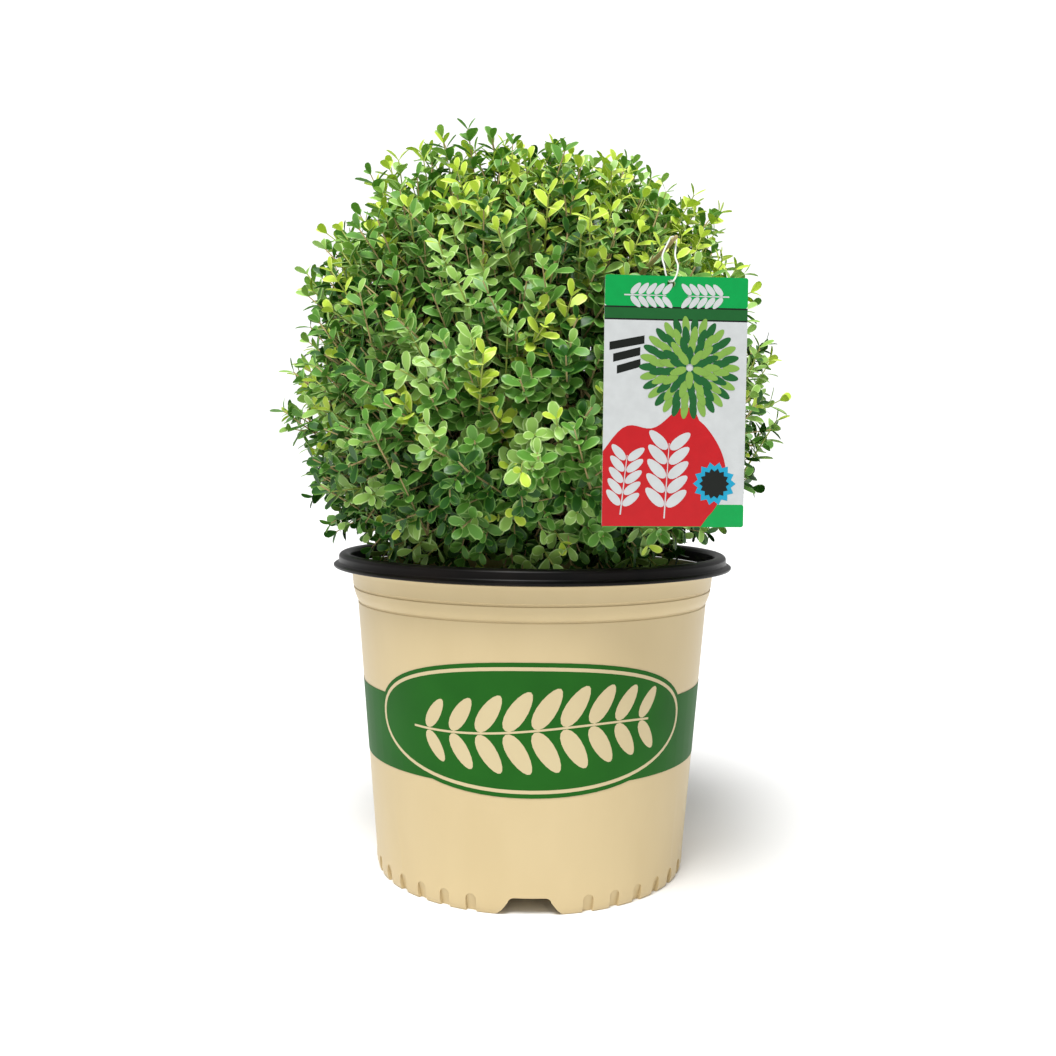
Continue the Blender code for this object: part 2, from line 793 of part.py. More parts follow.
def tag_boxes():
    """Boxes round the card and round its loop, in the card's frame, that leaves stay out of."""
    spare = 0.0012
    half = CARD_WIDTH / 2
    card_low = Vector(
        (
            -half - CARD_HOLE_SHIFT - spare,
            -CARD_THICKNESS / 2 - spare,
            CARD_HOLE_DROP - CARD_HEIGHT - spare,
        )
    )
    card_high = Vector(
        (half - CARD_HOLE_SHIFT + spare, CARD_THICKNESS / 2 + spare, CARD_HOLE_DROP + spare)
    )
    loop = [card_matrix().inverted() @ place for place in loop_route()]
    grown = Vector((spare, spare, spare))
    loop_low = Vector([min(place[axis] for place in loop) for axis in range(3)]) - grown
    loop_high = Vector([max(place[axis] for place in loop) for axis in range(3)]) + grown
    return [(card_low, card_high), (loop_low, loop_high)]


def tag_card():
    card = material("printed_card", (0.86, 0.87, 0.86), 0.35)
    bm = bmesh.new()
    half = CARD_WIDTH / 2
    low = CARD_HOLE_DROP - CARD_HEIGHT
    edges = []

    def ring(points):
        corners = [bm.verts.new((x, -CARD_THICKNESS / 2, z)) for x, z in points]
        for index, corner in enumerate(corners):
            edges.append(bm.edges.new((corner, corners[(index + 1) % len(corners)])))

    outline = []
    for centre_x, centre_z, first in (
        (half - CARD_CORNER, CARD_HOLE_DROP - CARD_CORNER, 0),
        (-half + CARD_CORNER, CARD_HOLE_DROP - CARD_CORNER, 90),
        (-half + CARD_CORNER, low + CARD_CORNER, 180),
        (half - CARD_CORNER, low + CARD_CORNER, 270),
    ):
        for step in range(3):
            angle = math.radians(first + step * 45)
            outline.append(
                (
                    centre_x - CARD_HOLE_SHIFT + CARD_CORNER * math.cos(angle),
                    centre_z + CARD_CORNER * math.sin(angle),
                )
            )
    ring(outline)
    hole = []
    for step in range(12):
        angle = math.tau * step / 12
        hole.append((CARD_HOLE_RADIUS * math.cos(angle), CARD_HOLE_RADIUS * math.sin(angle)))
    ring(hole)
    bmesh.ops.triangle_fill(bm, use_beauty=True, use_dissolve=False, edges=edges)
    sheet = bmesh.ops.extrude_face_region(bm, geom=list(bm.faces))
    moved = [item for item in sheet["geom"] if isinstance(item, bmesh.types.BMVert)]
    bmesh.ops.translate(bm, vec=(0.0, CARD_THICKNESS, 0.0), verts=moved)
    bmesh.ops.recalc_face_normals(bm, faces=bm.faces)
    made = object_from(bm, "tag_card", card)
    made.matrix_world = card_matrix()
    return made


def loop_route():
    """The loop's closed route: through the card's hole, up in front, over its twig, down behind."""
    through = CARD_HOLE_RADIUS - SEAT_GAP - LOOP_RADIUS - 0.0002
    hanger = card_matrix().inverted() @ HANGER_PLACE
    over = HANGER_RADIUS * 1.1 + SEAT_GAP + LOOP_RADIUS
    front = [
        Vector((0.0010, -0.0014, through + 0.0002)),
        Vector((0.0026, -0.0020, 0.0048)),
        Vector((0.0035, -0.0010, 0.0100)),
        Vector((0.0036, hanger.y * 0.55, 0.0170)),
    ]
    back = [
        Vector((-0.0036, hanger.y * 0.60, 0.0170)),
        Vector((-0.0034, 0.0030, 0.0100)),
        Vector((-0.0024, 0.0022, 0.0046)),
        Vector((-0.0009, 0.0014, through + 0.0002)),
    ]
    top = []
    for degrees in (10, 50, 90, 130, 170):
        angle = math.radians(degrees)
        top.append(hanger + Vector((over * math.cos(angle), 0.0, over * math.sin(angle))))
    knots = [Vector((0.0, 0.0, through))] + front + top + back
    return [card_matrix() @ place for place in smooth_ring(knots, LOOP_POINTS)]


def smooth_ring(knots, count):
    """Evenly spaced points on a closed smooth curve through the knots."""
    fine = []
    total = len(knots)
    for index in range(total):
        before, start, end, after = (knots[(index + step) % total] for step in (-1, 0, 1, 2))
        for step in range(12):
            t = step / 12
            fine.append(
                0.5
                * (
                    start * 2.0
                    + (end - before) * t
                    + (before * 2.0 - start * 5.0 + end * 4.0 - after) * t * t
                    + (start * 3.0 - before - end * 3.0 + after) * t**3
                )
            )
    lengths = [0.0]
    for index, place in enumerate(fine):
        lengths.append(lengths[-1] + (fine[(index + 1) % len(fine)] - place).length)
    points = []
    for index in range(count):
        goal = lengths[-1] * index / count
        near = max(k for k in range(len(fine)) if lengths[k] <= goal)
        share = (goal - lengths[near]) / (lengths[near + 1] - lengths[near])
        points.append(blend(fine[near], fine[(near + 1) % len(fine)], share))
    return points


def tag_loop():
    white = material("white_elastic", (0.85, 0.86, 0.82), 0.5)
    curve = bpy.data.curves.new("tag_loop", "CURVE")
    curve.dimensions = "3D"
    curve.bevel_depth = LOOP_RADIUS
    curve.bevel_resolution = 0
    route = loop_route()
    spline = curve.splines.new("POLY")
    spline.points.add(len(route) - 1)
    for point, place in zip(spline.points, route):
        point.co = (*place, 1.0)
    spline.use_cyclic_u = True
    made = bpy.data.objects.new("tag_loop", curve)
    bpy.context.scene.collection.objects.link(made)
    curve.materials.append(white)
    return made


def hanger_twig(mass, rng):
    """The twig that carries the loop: it grows out of the core, through the loop, with end leaves."""
    toward = (HANGER_PLACE - CROWN_MIDDLE).normalized()
    out = (card_matrix().to_3x3() @ Vector((0.10, -1.0, 0.18))).normalized()
    inside = CROWN_MIDDLE + toward * HANGER_ROOT
    end = HANGER_PLACE + out * HANGER_END
    before = HANGER_PLACE - out * 0.006
    path = [inside, before, end]
    radii = [TWIG_RADIUS * 1.3, HANGER_RADIUS, HANGER_RADIUS * 0.9]
    parts = [tube(path, radii, 3, last=out)]
    return parts + leaf_pairs(mass, end, out, rng, 1, 0.7)


clear_scene()
pot()
pot_rim()
soil()
bark = material("bark", (0.26, 0.19, 0.12), 0.85)
leaf_greens = [
    material("foliage_green", (0.10, 0.24, 0.05), 0.45),
    material("foliage_light_green", (0.14, 0.30, 0.06), 0.45),
    material("foliage_deep_green", (0.07, 0.19, 0.04), 0.45),
]
main_stem(bark)
all_homes = masses()
share_tips(all_homes)
leaf_rng = random.Random(SEED + 1)
for number, home in enumerate(all_homes):
    foliage(home, leaf_greens, number, leaf_rng)
    bough_name = home.name.replace("foliage", "bough")
    if number == 0:
        top_bough(bough_name, bark)
    elif number <= UPPER_COUNT:
        level = (number - 1) * 2 % UPPER_COUNT / (UPPER_COUNT - 1)
        base = stem_axis(UPPER_BOUGH_START + BOUGH_STAGGER * level)
        bough(bough_name, base, home.toward, bark)
    else:
        level = (number - UPPER_COUNT - 1) * 3 % LOWER_COUNT / (LOWER_COUNT - 1)
        base = stem_axis(LOWER_BOUGH_START + BOUGH_STAGGER * level)
        bough(bough_name, base, home.toward, bark)
tag_card()
tag_loop()
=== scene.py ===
# Looks of a boxwood clipped to a ball in a nursery pot with a hang tag.
# Metres, in the CAD part's frame: +Z up, the pot's axis on Z, the front faces -Y.

import math
import random

import bmesh
import bpy
import numpy as np
from mathutils import Matrix, Vector, noise


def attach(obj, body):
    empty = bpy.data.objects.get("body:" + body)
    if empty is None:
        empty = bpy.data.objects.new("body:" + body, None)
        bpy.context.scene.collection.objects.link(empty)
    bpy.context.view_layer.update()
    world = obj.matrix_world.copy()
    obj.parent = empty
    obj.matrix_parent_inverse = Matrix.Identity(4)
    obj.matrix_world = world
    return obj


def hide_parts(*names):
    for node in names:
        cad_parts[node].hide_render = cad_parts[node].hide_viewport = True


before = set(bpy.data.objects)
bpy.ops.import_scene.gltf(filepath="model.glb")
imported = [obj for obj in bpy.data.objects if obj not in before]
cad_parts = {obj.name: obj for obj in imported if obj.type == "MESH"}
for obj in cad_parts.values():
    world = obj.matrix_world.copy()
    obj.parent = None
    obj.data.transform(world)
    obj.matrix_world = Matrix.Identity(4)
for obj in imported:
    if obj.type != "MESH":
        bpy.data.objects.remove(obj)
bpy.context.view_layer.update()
up = Vector((0.0, 0.0, 1.0))


# Materials


def plainFinish(name, colour, roughness, specular=0.5):
    made = bpy.data.materials.new(name)
    made.use_nodes = True
    shader = made.node_tree.nodes["Principled BSDF"]
    shader.inputs["Base Color"].default_value = (*colour, 1.0)
    shader.inputs["Roughness"].default_value = roughness
    shader.inputs["Specular IOR Level"].default_value = specular
    return made


def grainFinish(
    name, dark, light, roughness, scale, relief, depth, stretch=(1.0, 1.0, 1.0), specular=0.25
):
    # Noise in the object's own space gives both the colour's variation and the relief
    made = plainFinish(name, light, roughness, specular)
    nodes, links = made.node_tree.nodes, made.node_tree.links
    shader = nodes["Principled BSDF"]
    place = nodes.new("ShaderNodeTexCoord")
    mapping = nodes.new("ShaderNodeMapping")
    mapping.inputs["Scale"].default_value = stretch
    grain = nodes.new("ShaderNodeTexNoise")
    grain.inputs["Scale"].default_value = scale
    grain.inputs["Detail"].default_value = 5.0
    ramp = nodes.new("ShaderNodeValToRGB")
    ramp.color_ramp.elements[0].position = 0.34
    ramp.color_ramp.elements[0].color = (*dark, 1.0)
    ramp.color_ramp.elements[1].position = 0.66
    ramp.color_ramp.elements[1].color = (*light, 1.0)
    bump = nodes.new("ShaderNodeBump")
    bump.inputs["Strength"].default_value = relief
    bump.inputs["Distance"].default_value = depth
    links.new(place.outputs["Object"], mapping.inputs["Vector"])
    links.new(mapping.outputs["Vector"], grain.inputs["Vector"])
    links.new(grain.outputs["Fac"], ramp.inputs["Fac"])
    links.new(ramp.outputs["Color"], shader.inputs["Base Color"])
    links.new(grain.outputs["Fac"], bump.inputs["Height"])
    links.new(bump.outputs["Normal"], shader.inputs["Normal"])
    return made


# Shapes


def direction(azimuth, elevation):
    turn, rise = math.radians(azimuth), math.radians(elevation)
    level = math.cos(rise)
    return Vector((level * math.cos(turn), level * math.sin(turn), math.sin(rise)))


def blend(first, second, share):
    return first + (second - first) * share


def bezier(start, startHandle, endHandle, end, count):
    points = []
    for index in range(count):
        t = index / (count - 1)
        s = 1.0 - t
        points.append(
            start * s**3 + startHandle * 3.0 * s * s * t + endHandle * 3.0 * s * t * t + end * t**3
        )
    return points


def turnedBy(points, angle, x=0.0, y=0.0):
    # Flat points turned by an angle, then moved
    level, rise = math.cos(angle), math.sin(angle)
    return [(x + a * level - b * rise, y + a * rise + b * level) for a, b in points]


def ringPoints(radii, x=0.0, y=0.0):
    turns = [math.tau * step / len(radii) for step in range(len(radii))]
    return [(x + reach * math.cos(t), y + reach * math.sin(t)) for reach, t in zip(radii, turns)]


def settle(made, nodes=()):
    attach(made, "root")
    if nodes:
        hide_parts(*nodes)
    return made


def meshPiece(bm, name, finishes, sharpAngle=40.0):
    mesh = bpy.data.meshes.new(name)
    bm.to_mesh(mesh)
    bm.free()
    for finish in finishes:
        mesh.materials.append(finish)
    made = bpy.data.objects.new(name, mesh)
    bpy.context.scene.collection.objects.link(made)
    mesh.shade_smooth()
    mesh.set_sharp_from_angle(angle=math.radians(sharpAngle))
    return made


def arrayPiece(name, points, faces, finishes, faceSlots=None):
    # One joined mesh from arrays of points and triangles
    mesh = bpy.data.meshes.new(name)
    count = len(faces)
    mesh.vertices.add(len(points))
    mesh.vertices.foreach_set("co", np.asarray(points, np.float32).ravel())
    mesh.loops.add(count * 3)
    mesh.loops.foreach_set("vertex_index", np.asarray(faces, np.int32).ravel())
    mesh.polygons.add(count)
    mesh.polygons.foreach_set("loop_start", np.arange(0, count * 3, 3, dtype=np.int32))
    for finish in finishes:
        mesh.materials.append(finish)
    if faceSlots is not None:
        mesh.polygons.foreach_set("material_index", np.asarray(faceSlots, np.int32))
    mesh.update(calc_edges=True)
    mesh.shade_smooth()
    made = bpy.data.objects.new(name, mesh)
    bpy.context.scene.collection.objects.link(made)
    return made


class Heap:
    # Gathers tubes into one set of points and triangles

    def __init__(self):
        self.points, self.faces, self.count = [], [], 0

    def add(self, points, faces):
        self.points.append(np.asarray(points, float))
        self.faces.append(np.asarray(faces, int) + self.count)
        self.count += len(points)

    def tube(self, path, radii, sides, roughen=None):
        points, faces, side = [], [], None
        for index, (point, radius) in enumerate(zip(path, radii)):
            along = path[min(index + 1, len(path) - 1)] - path[max(index - 1, 0)]
            along.normalize()
            side = side or along.orthogonal().normalized()
            side = (side - along * side.dot(along)).normalized()
            across = along.cross(side)
            for corner in range(sides):
                angle = math.tau * corner / sides
                out = side * math.cos(angle) + across * math.sin(angle)
                grown = radius * (roughen(point, out, angle) if roughen else 1.0)
                points.append(point + out * grown)
        for ring in range(len(path) - 1):
            for corner in range(sides):
                near, follow = ring * sides + corner, ring * sides + (corner + 1) % sides
                faces.append((near, follow, follow + sides))
                faces.append((near, follow + sides, near + sides))
        last = (len(path) - 1) * sides
        for corner in range(1, sides - 1):
            faces.append((0, corner + 1, corner))
            faces.append((last, last + corner, last + corner + 1))
        self.add(points, faces)

    def piece(self, name, finishes):
        return arrayPiece(name, np.vstack(self.points), np.vstack(self.faces), finishes)


def spun(profile, segments, closed):
    bm = bmesh.new()
    corners = [bm.verts.new((radius, 0.0, height)) for radius, height in profile]
    edges = [bm.edges.new(pair) for pair in zip(corners, corners[1:])]
    if closed:
        edges.append(bm.edges.new((corners[-1], corners[0])))
    turn = {"cent": (0, 0, 0), "axis": (0, 0, 1), "angle": math.tau, "steps": segments}
    bmesh.ops.spin(bm, geom=corners + edges, use_merge=True, **turn)
    bmesh.ops.remove_doubles(bm, verts=bm.verts, dist=0.000001)
    bmesh.ops.recalc_face_normals(bm, faces=bm.faces)
    return bm


# Camera, lights and floor

view = {
    "eye": Vector((-0.0033, -0.8000, 0.2880)),
    "pitchDown": 0.0619,
    "roll": 0.0100,
    "focalPixels": 1122.0,
    "framePixels": 1056.0,
    "sensor": 36.0,
}


def setCamera():
    data = bpy.data.cameras.new("camera")
    data.sensor_width = view["sensor"]
    data.lens = view["focalPixels"] / view["framePixels"] * view["sensor"]
    data.clip_start, data.clip_end = 0.01, 50.0
    camera = bpy.data.objects.new("camera", data)
    bpy.context.scene.collection.objects.link(camera)
    pitch, roll = view["pitchDown"], view["roll"]
    ahead = Vector((0.0, math.cos(pitch), -math.sin(pitch)))
    right = Vector((1.0, 0.0, 0.0))
    above = right.cross(ahead)
    tilted = right * math.cos(roll) + above * math.sin(roll)
    raised = above * math.cos(roll) - right * math.sin(roll)
    turn = Matrix((tilted, raised, -ahead)).transposed().to_4x4()
    camera.matrix_world = Matrix.Translation(view["eye"]) @ turn
    bpy.context.scene.camera = camera


studio = {
    "keyFrom": Vector((-0.26, -0.95, 2.10)),
    "keyStrength": 5.3,
    "keyAngle": 26.0,
    "sky": (1.0, 1.0, 1.0),
    "skyStrength": 0.72,
    "backdropStrength": 1.75,
    "exposure": -0.60,
    "floorColour": (0.92, 0.92, 0.915),
    "floorSize": 12.0,
}


def setStudio():
    data = bpy.data.lights.new("key", "SUN")
    data.energy = studio["keyStrength"]
    data.angle = math.radians(studio["keyAngle"])
    lamp = bpy.data.objects.new("key", data)
    bpy.context.scene.collection.objects.link(lamp)
    lamp.location = studio["keyFrom"]
    lamp.rotation_euler = (-studio["keyFrom"]).to_track_quat("-Z", "Y").to_euler()
    # The backdrop shows as plain white, and lights the object more softly than it shows
    world = bpy.data.worlds.new("studio")
    bpy.context.scene.world = world
    world.use_nodes = True
    nodes, links = world.node_tree.nodes, world.node_tree.links
    light = nodes["Background"]
    light.inputs["Color"].default_value = (*studio["sky"], 1.0)
    light.inputs["Strength"].default_value = studio["skyStrength"]
    backdrop = nodes.new("ShaderNodeBackground")
    backdrop.inputs["Strength"].default_value = studio["backdropStrength"]
    backdrop.inputs["Color"].default_value = (*studio["sky"], 1.0)
    seen = nodes.new("ShaderNodeLightPath")
    both = nodes.new("ShaderNodeMixShader")
    links.new(seen.outputs["Is Camera Ray"], both.inputs["Fac"])
    links.new(light.outputs["Background"], both.inputs[1])
    links.new(backdrop.outputs["Background"], both.inputs[2])
    links.new(both.outputs["Shader"], nodes["World Output"].inputs["Surface"])
    bpy.context.scene.view_settings.view_transform = "Standard"
    bpy.context.scene.view_settings.exposure = studio["exposure"]
    bm = bmesh.new()
    bmesh.ops.create_grid(bm, x_segments=1, y_segments=1, size=studio["floorSize"])
    bmesh.ops.translate(bm, vec=(0.0, 0.0, -0.0001), verts=bm.verts)
    floor = meshPiece(bm, "floor", [plainFinish("floor_paint", studio["floorColour"], 0.9)])


# Pot

potShape = {
    "footRadius": 0.1083,
    "footBulge": 0.0014,
    "footHeight": 0.0120,
    "skirt": 0.0058,
    "wall": 0.0017,
    "collarRadius": 0.1232,
    "collarStart": 0.1890,
    "collarStep": 0.0030,
    "mouthRadius": 0.1300,
    "mouthHeight": 0.2115,
    "rimInner": 0.1283,
    "segments": 144,
    "divisions": 36,
    "notches": 3,
    "fluteWidth": 0.0072,
    "fluteDepth": 0.0034,
    "notchHeight": 0.0115,
    "notchTop": 0.0230,
    "notchFoot": 0.0400,
    "notchCorner": 0.0030,
    "drainHoles": 6,
    "drainRadius": 0.0050,
    "drainCircle": 0.0720,
    "cream": (0.615, 0.490, 0.278),
    "creamDark": (0.585, 0.462, 0.256),
    # Painted shade: the pot's inside is near black, standing in for the shade within it
    "inside": (0.012, 0.011, 0.010),
    "insideShadeLighter": (0.020, 0.018, 0.016),
    "groove": 0.0006,
}


def wallRadius(height):
    low, high = potShape["footHeight"], potShape["collarStart"]
    start = potShape["footRadius"] + potShape["footBulge"]
    return blend(start, potShape["collarRadius"], (height - low) / (high - low))


def prism(bm, azimuth, outline, innerRadius, outerRadius):
    turn = math.radians(azimuth)
    out = Vector((math.cos(turn), math.sin(turn), 0.0))
    across = Vector((-math.sin(turn), math.cos(turn), 0.0))
    inner, outer = [], []
    for sideways, height in outline:
        lift = up * height
        inner.append(bm.verts.new(out * innerRadius(height) + across * sideways + lift))
        outer.append(bm.verts.new(out * outerRadius + across * sideways + lift))
    for index in range(len(outline)):
        follow = (index + 1) % len(outline)
        bm.faces.new((inner[index], inner[follow], outer[follow], outer[index]))
    bm.faces.new(inner[::-1])
    bm.faces.new(outer)


def fluteOutline():
    half = potShape["fluteWidth"] / 2
    crest = potShape["footHeight"] - half
    turns = [math.pi * step / 12 for step in range(13)]
    arch = [(half * math.cos(turn), crest + half * math.sin(turn)) for turn in turns]
    return [(half, -0.002)] + arch + [(-half, -0.002)]


def notchOutline():
    foot, top = potShape["notchFoot"] / 2, potShape["notchTop"] / 2
    height, corner = potShape["notchHeight"], potShape["notchCorner"]
    slope = (foot - top) / height
    right = [(foot + corner + slope * 0.002, -0.002), (foot + corner * 0.45, corner * 0.05)]
    for step in range(5):
        share = step / 4
        low = Vector((foot - slope * corner, corner))
        right.append(tuple(blend(Vector((foot + corner * 0.3, 0.0002)), low, 0.25 + 0.75 * share)))
    for step in range(6):
        angle = math.pi / 2 * step / 5
        sideways = top - corner * 0.7 + corner * (0.7 + slope) * math.cos(angle)
        right.append((sideways, height - corner + corner * math.sin(angle)))
    return right + [(-sideways, level) for sideways, level in reversed(right)]


def footCutter():
    bm = bmesh.new()
    every = potShape["divisions"] // potShape["notches"]
    foot, high = potShape["footRadius"], potShape["footHeight"]
    top = foot + potShape["footBulge"] - 0.0004
    outer = foot + 0.008

    def fluteFloor(height):
        return blend(foot - potShape["fluteDepth"], top, max(height, 0.0) / high)

    def notchFloor(height):  # the same at every height
        return foot - potShape["skirt"] - 0.004

    for division in range(potShape["divisions"]):
        azimuth = 270 + division * 360 / potShape["divisions"]
        place = division % every
        if place == 0:
            prism(bm, azimuth, notchOutline(), notchFloor, outer)
        elif 2 <= place <= every - 2:
            prism(bm, azimuth, fluteOutline(), fluteFloor, outer)
    for hole in range(potShape["drainHoles"]):
        spot = direction(270 + (hole + 0.5) * 360 / potShape["drainHoles"], 0)
        spot = spot * potShape["drainCircle"] + up * (high + potShape["wall"] / 2)
        bmesh.ops.create_cone(
            bm,
            cap_ends=True,
            segments=24,
            radius1=potShape["drainRadius"],
            radius2=potShape["drainRadius"],
            depth=potShape["wall"] * 3,
            matrix=Matrix.Translation(spot),
        )
    bmesh.ops.recalc_face_normals(bm, faces=bm.faces)
    mesh = bpy.data.meshes.new("foot_cutter")
    bm.to_mesh(mesh)
    bm.free()
    cutter = bpy.data.objects.new("foot_cutter", mesh)
    bpy.context.scene.collection.objects.link(cutter)
    return cutter


def makePot():
    s = potShape
    foot, bulge, high = s["footRadius"], s["footBulge"], s["footHeight"]
    collar, start, step = s["collarRadius"], s["collarStart"], s["collarStep"]
    groove = s["groove"]
    profile = [
        (0.0, high),
        (foot - s["skirt"] - 0.001, high),
        (foot - s["skirt"], 0.0006),
        (foot - s["skirt"] + 0.0006, 0.0),
        (foot - 0.0007, 0.0),
        (foot, 0.0007),
        (foot + bulge * 0.85, high * 0.4),
        (foot + bulge, high),
        (wallRadius(0.0700), 0.0700),
        (wallRadius(0.1300), 0.1300),
        (collar - 0.0001, start - 0.0016),
        (collar - groove, start - 0.0010),
        (collar - groove, start - 0.0002),
        (collar + 0.0004, start + 0.0006),
        (collar + step * 0.72, start + 0.0052),
        (collar + step, start + 0.0088),
        (collar + step - groove, start + 0.0095),
        (collar + step - groove, start + 0.0103),
        (collar + step + 0.0003, start + 0.0110),
        (collar + step * 1.35, start + 0.0185),
        (s["mouthRadius"] - 0.0003, s["mouthHeight"] - 0.0006),
        (s["mouthRadius"] - 0.0008, s["mouthHeight"]),
        (s["rimInner"], s["mouthHeight"]),
        (collar + step - s["wall"], start + 0.0105),
        (collar - s["wall"], start - 0.0010),
        (wallRadius(high + s["wall"]) - s["wall"], high + s["wall"]),
        (0.0, high + s["wall"]),
    ]
    bm = spun(profile, s["segments"], closed=False)
    # The inner wall and the floor's top get the near-black finish, painted shade for the pot's dark
    # inside; the outside and the underside stay cream
    for face in bm.faces:
        middle = face.calc_center_median()
        outer = math.hypot(middle.x, middle.y) > wallRadius(middle.z) - 0.0010
        face.material_index = 0 if outer or middle.z < high + 0.0004 else 1
    cream = grainFinish("cream_plastic", s["creamDark"], s["cream"], 0.38, 22.0, 0.10, 0.0003, (1, 1, 0.4))
    inside = grainFinish("painted_shade_inside", s["inside"], s["insideShadeLighter"], 0.55, 60.0, 0.2, 0.0003)
    pot = meshPiece(bm, "pot_body", [cream, inside])
    cutter = footCutter()
    cut = pot.modifiers.new("foot", "BOOLEAN")
    cut.operation = "DIFFERENCE"
    cut.object = cutter
    cut.solver = "EXACT"
    graph = bpy.context.evaluated_depsgraph_get()
    mesh = bpy.data.meshes.new_from_object(pot.evaluated_get(graph))
    pot.modifiers.clear()
    pot.data = mesh
    bpy.data.objects.remove(cutter, do_unlink=True)
    mesh.materials.clear()
    mesh.materials.append(cream)
    mesh.materials.append(inside)
    mesh.shade_smooth()
    mesh.set_sharp_from_angle(angle=math.radians(32.0))
    settle(pot, ["pot"])
    print("pot", len(mesh.polygons))


rimShape = {
    "low": 0.2118,
    "top": 0.2222,
    "inner": 0.1283,
    "outer": 0.1365,
    "lip": 0.1400,
    "segments": 144,
    "black": (0.003, 0.003, 0.003),
    "worn": (0.008, 0.006, 0.005),
}


def makeRim():
    s = rimShape
    roll = (s["outer"] - s["inner"]) / 2
    middle = (s["outer"] + s["inner"]) / 2
    crest = s["top"] - roll * 0.75
    profile = [(s["inner"], s["low"])]
    for step in range(19):
        angle = math.pi - math.pi * step / 18
        profile.append((middle + roll * math.cos(angle), crest + roll * 0.75 * math.sin(angle)))
    profile += [
        (s["outer"], s["low"] + 0.0046),
        (s["outer"] + 0.0004, s["low"] + 0.0036),
        (s["outer"] + 0.0012, s["low"] + 0.0030),
        (s["lip"] - 0.0006, s["low"] + 0.0026),
        (s["lip"], s["low"] + 0.0021),
        (s["lip"], s["low"] + 0.0011),
        (s["lip"] - 0.0005, s["low"] + 0.0006),
        (potShape["mouthRadius"] + 0.001, s["low"]),
    ]
    black = grainFinish("black_plastic", s["black"], s["worn"], 0.34, 35.0, 0.08, 0.0003, specular=0.12)
    rim = meshPiece(spun(profile, s["segments"], closed=True), "pot_rolled_rim", [black])
    settle(rim, ["pot_rim"])
    print("rim")


# Printed band and panel on the pot, as thin layers on its wall

printShape = {
    "bandLow": 0.0840,
    "bandHigh": 0.1340,
    "panelMiddle": 0.1203,
    "panelHalfHeight": 0.0432,
    "panelHalfAngle": 56.0,
    "rimLines": ((1.0, "print_green"), (0.935, "print_cream"), (0.880, "print_green")),
    "lift": 0.00022,
    "layer": 0.00006,
    "stripAngle": 3.0,
    "green": (0.012, 0.112, 0.008),
    "cream": (0.600, 0.500, 0.295),
    "bandStart": 26,
    "sprigPairs": 9,
    "sprigHalfAngle": 39.0,
    "sprigLeaf": (0.0265, 0.0122),
    "sprigLean": 58.0,
    "sprigWave": 0.0035,
    "sprigStalk": 0.0007,
    "sprigGap": 0.0012,
    "greenDark": (0.010, 0.098, 0.007),
    "creamDark": (0.585, 0.480, 0.280),
    "radius": 0.117,
}


def ovalPoints(share, count=72):
    # A flattened oval: angle from the front in degrees, and height
    points = []
    for step in range(count):
        angle = math.tau * step / count
        across = math.copysign(abs(math.cos(angle)) ** 0.92, math.cos(angle))
        rise = math.copysign(abs(math.sin(angle)) ** 0.92, math.sin(angle))
        shrink = (1.0 - share) * printShape["panelHalfHeight"]
        half = printShape["panelHalfAngle"] - math.degrees(shrink / printShape["radius"])
        height = printShape["panelMiddle"] + rise * (printShape["panelHalfHeight"] - shrink)
        points.append((across * half, height))
    return points


def leafOutline(length, width, count=18):
    points = []
    for step in range(count):
        angle = math.tau * step / count
        along = 0.5 - 0.5 * math.cos(angle)
        points.append((along * length, math.sin(angle) * width / 2 * (1.0 - 0.25 * along)))
    return points


def sprigShapes():
    # A level sprig with leaves in pairs: polygons as (angle, height)
    perMetre = math.degrees(1.0 / printShape["radius"])
    reach = printShape["sprigHalfAngle"]
    middle = printShape["panelMiddle"]
    stalk = []

    def wave(angle):
        return printShape["sprigWave"] * math.sin(math.radians(angle * 3.2))

    for side in (1, -1):
        for step in range(25):
            angle = -reach + (step / 24 if side == 1 else 1 - step / 24) * reach * 2
            stalk.append((angle, middle + wave(angle) + side * printShape["sprigStalk"]))
    shapes = [stalk]
    length, width = printShape["sprigLeaf"]
    pairs = printShape["sprigPairs"]
    for pair in range(pairs):
        angle = -reach + (pair + 0.6) * reach * 2 / pairs
        size = 0.78 + 0.35 * math.sin(math.pi * (pair + 0.5) / pairs)
        for side in (1, -1):
            root = middle + wave(angle) + printShape["sprigGap"] * side
            lean = math.radians(printShape["sprigLean"]) * side
            leaf = turnedBy(leafOutline(length * size, width * size), lean)
            ring = [(angle + east * perMetre, root + north) for east, north in leaf]
            shapes.append(ring if side == 1 else ring[::-1])
    return shapes


def wallLayer(name, shapes, lift, finish):
    # Flat shapes are cut into upright strips and then wrapped on the wall
    bm = bmesh.new()
    for shape in shapes:
        bm.faces.new([bm.verts.new((angle, height, 0.0)) for angle, height in shape])
    widest = max(abs(vert.co.x) for vert in bm.verts)
    step = printShape["stripAngle"]
    line = -math.floor(widest / step) * step
    while line < widest:
        bmesh.ops.bisect_plane(
            bm,
            geom=list(bm.verts) + list(bm.edges) + list(bm.faces),
            dist=0.00001,
            plane_co=(line, 0.0, 0.0),
            plane_no=(1.0, 0.0, 0.0),
        )
        line += step
    for vert in bm.verts:
        turn = math.radians(270.0 + vert.co.x)
        radius = wallRadius(vert.co.y) + lift
        vert.co = (radius * math.cos(turn), radius * math.sin(turn), vert.co.y)
    bmesh.ops.recalc_face_normals(bm, faces=bm.faces)
    for face in bm.faces:
        middle = face.calc_center_median()
        if face.normal.dot(Vector((middle.x, middle.y, 0.0))) < 0:
            face.normal_flip()
    settle(meshPiece(bm, name, [finish]))


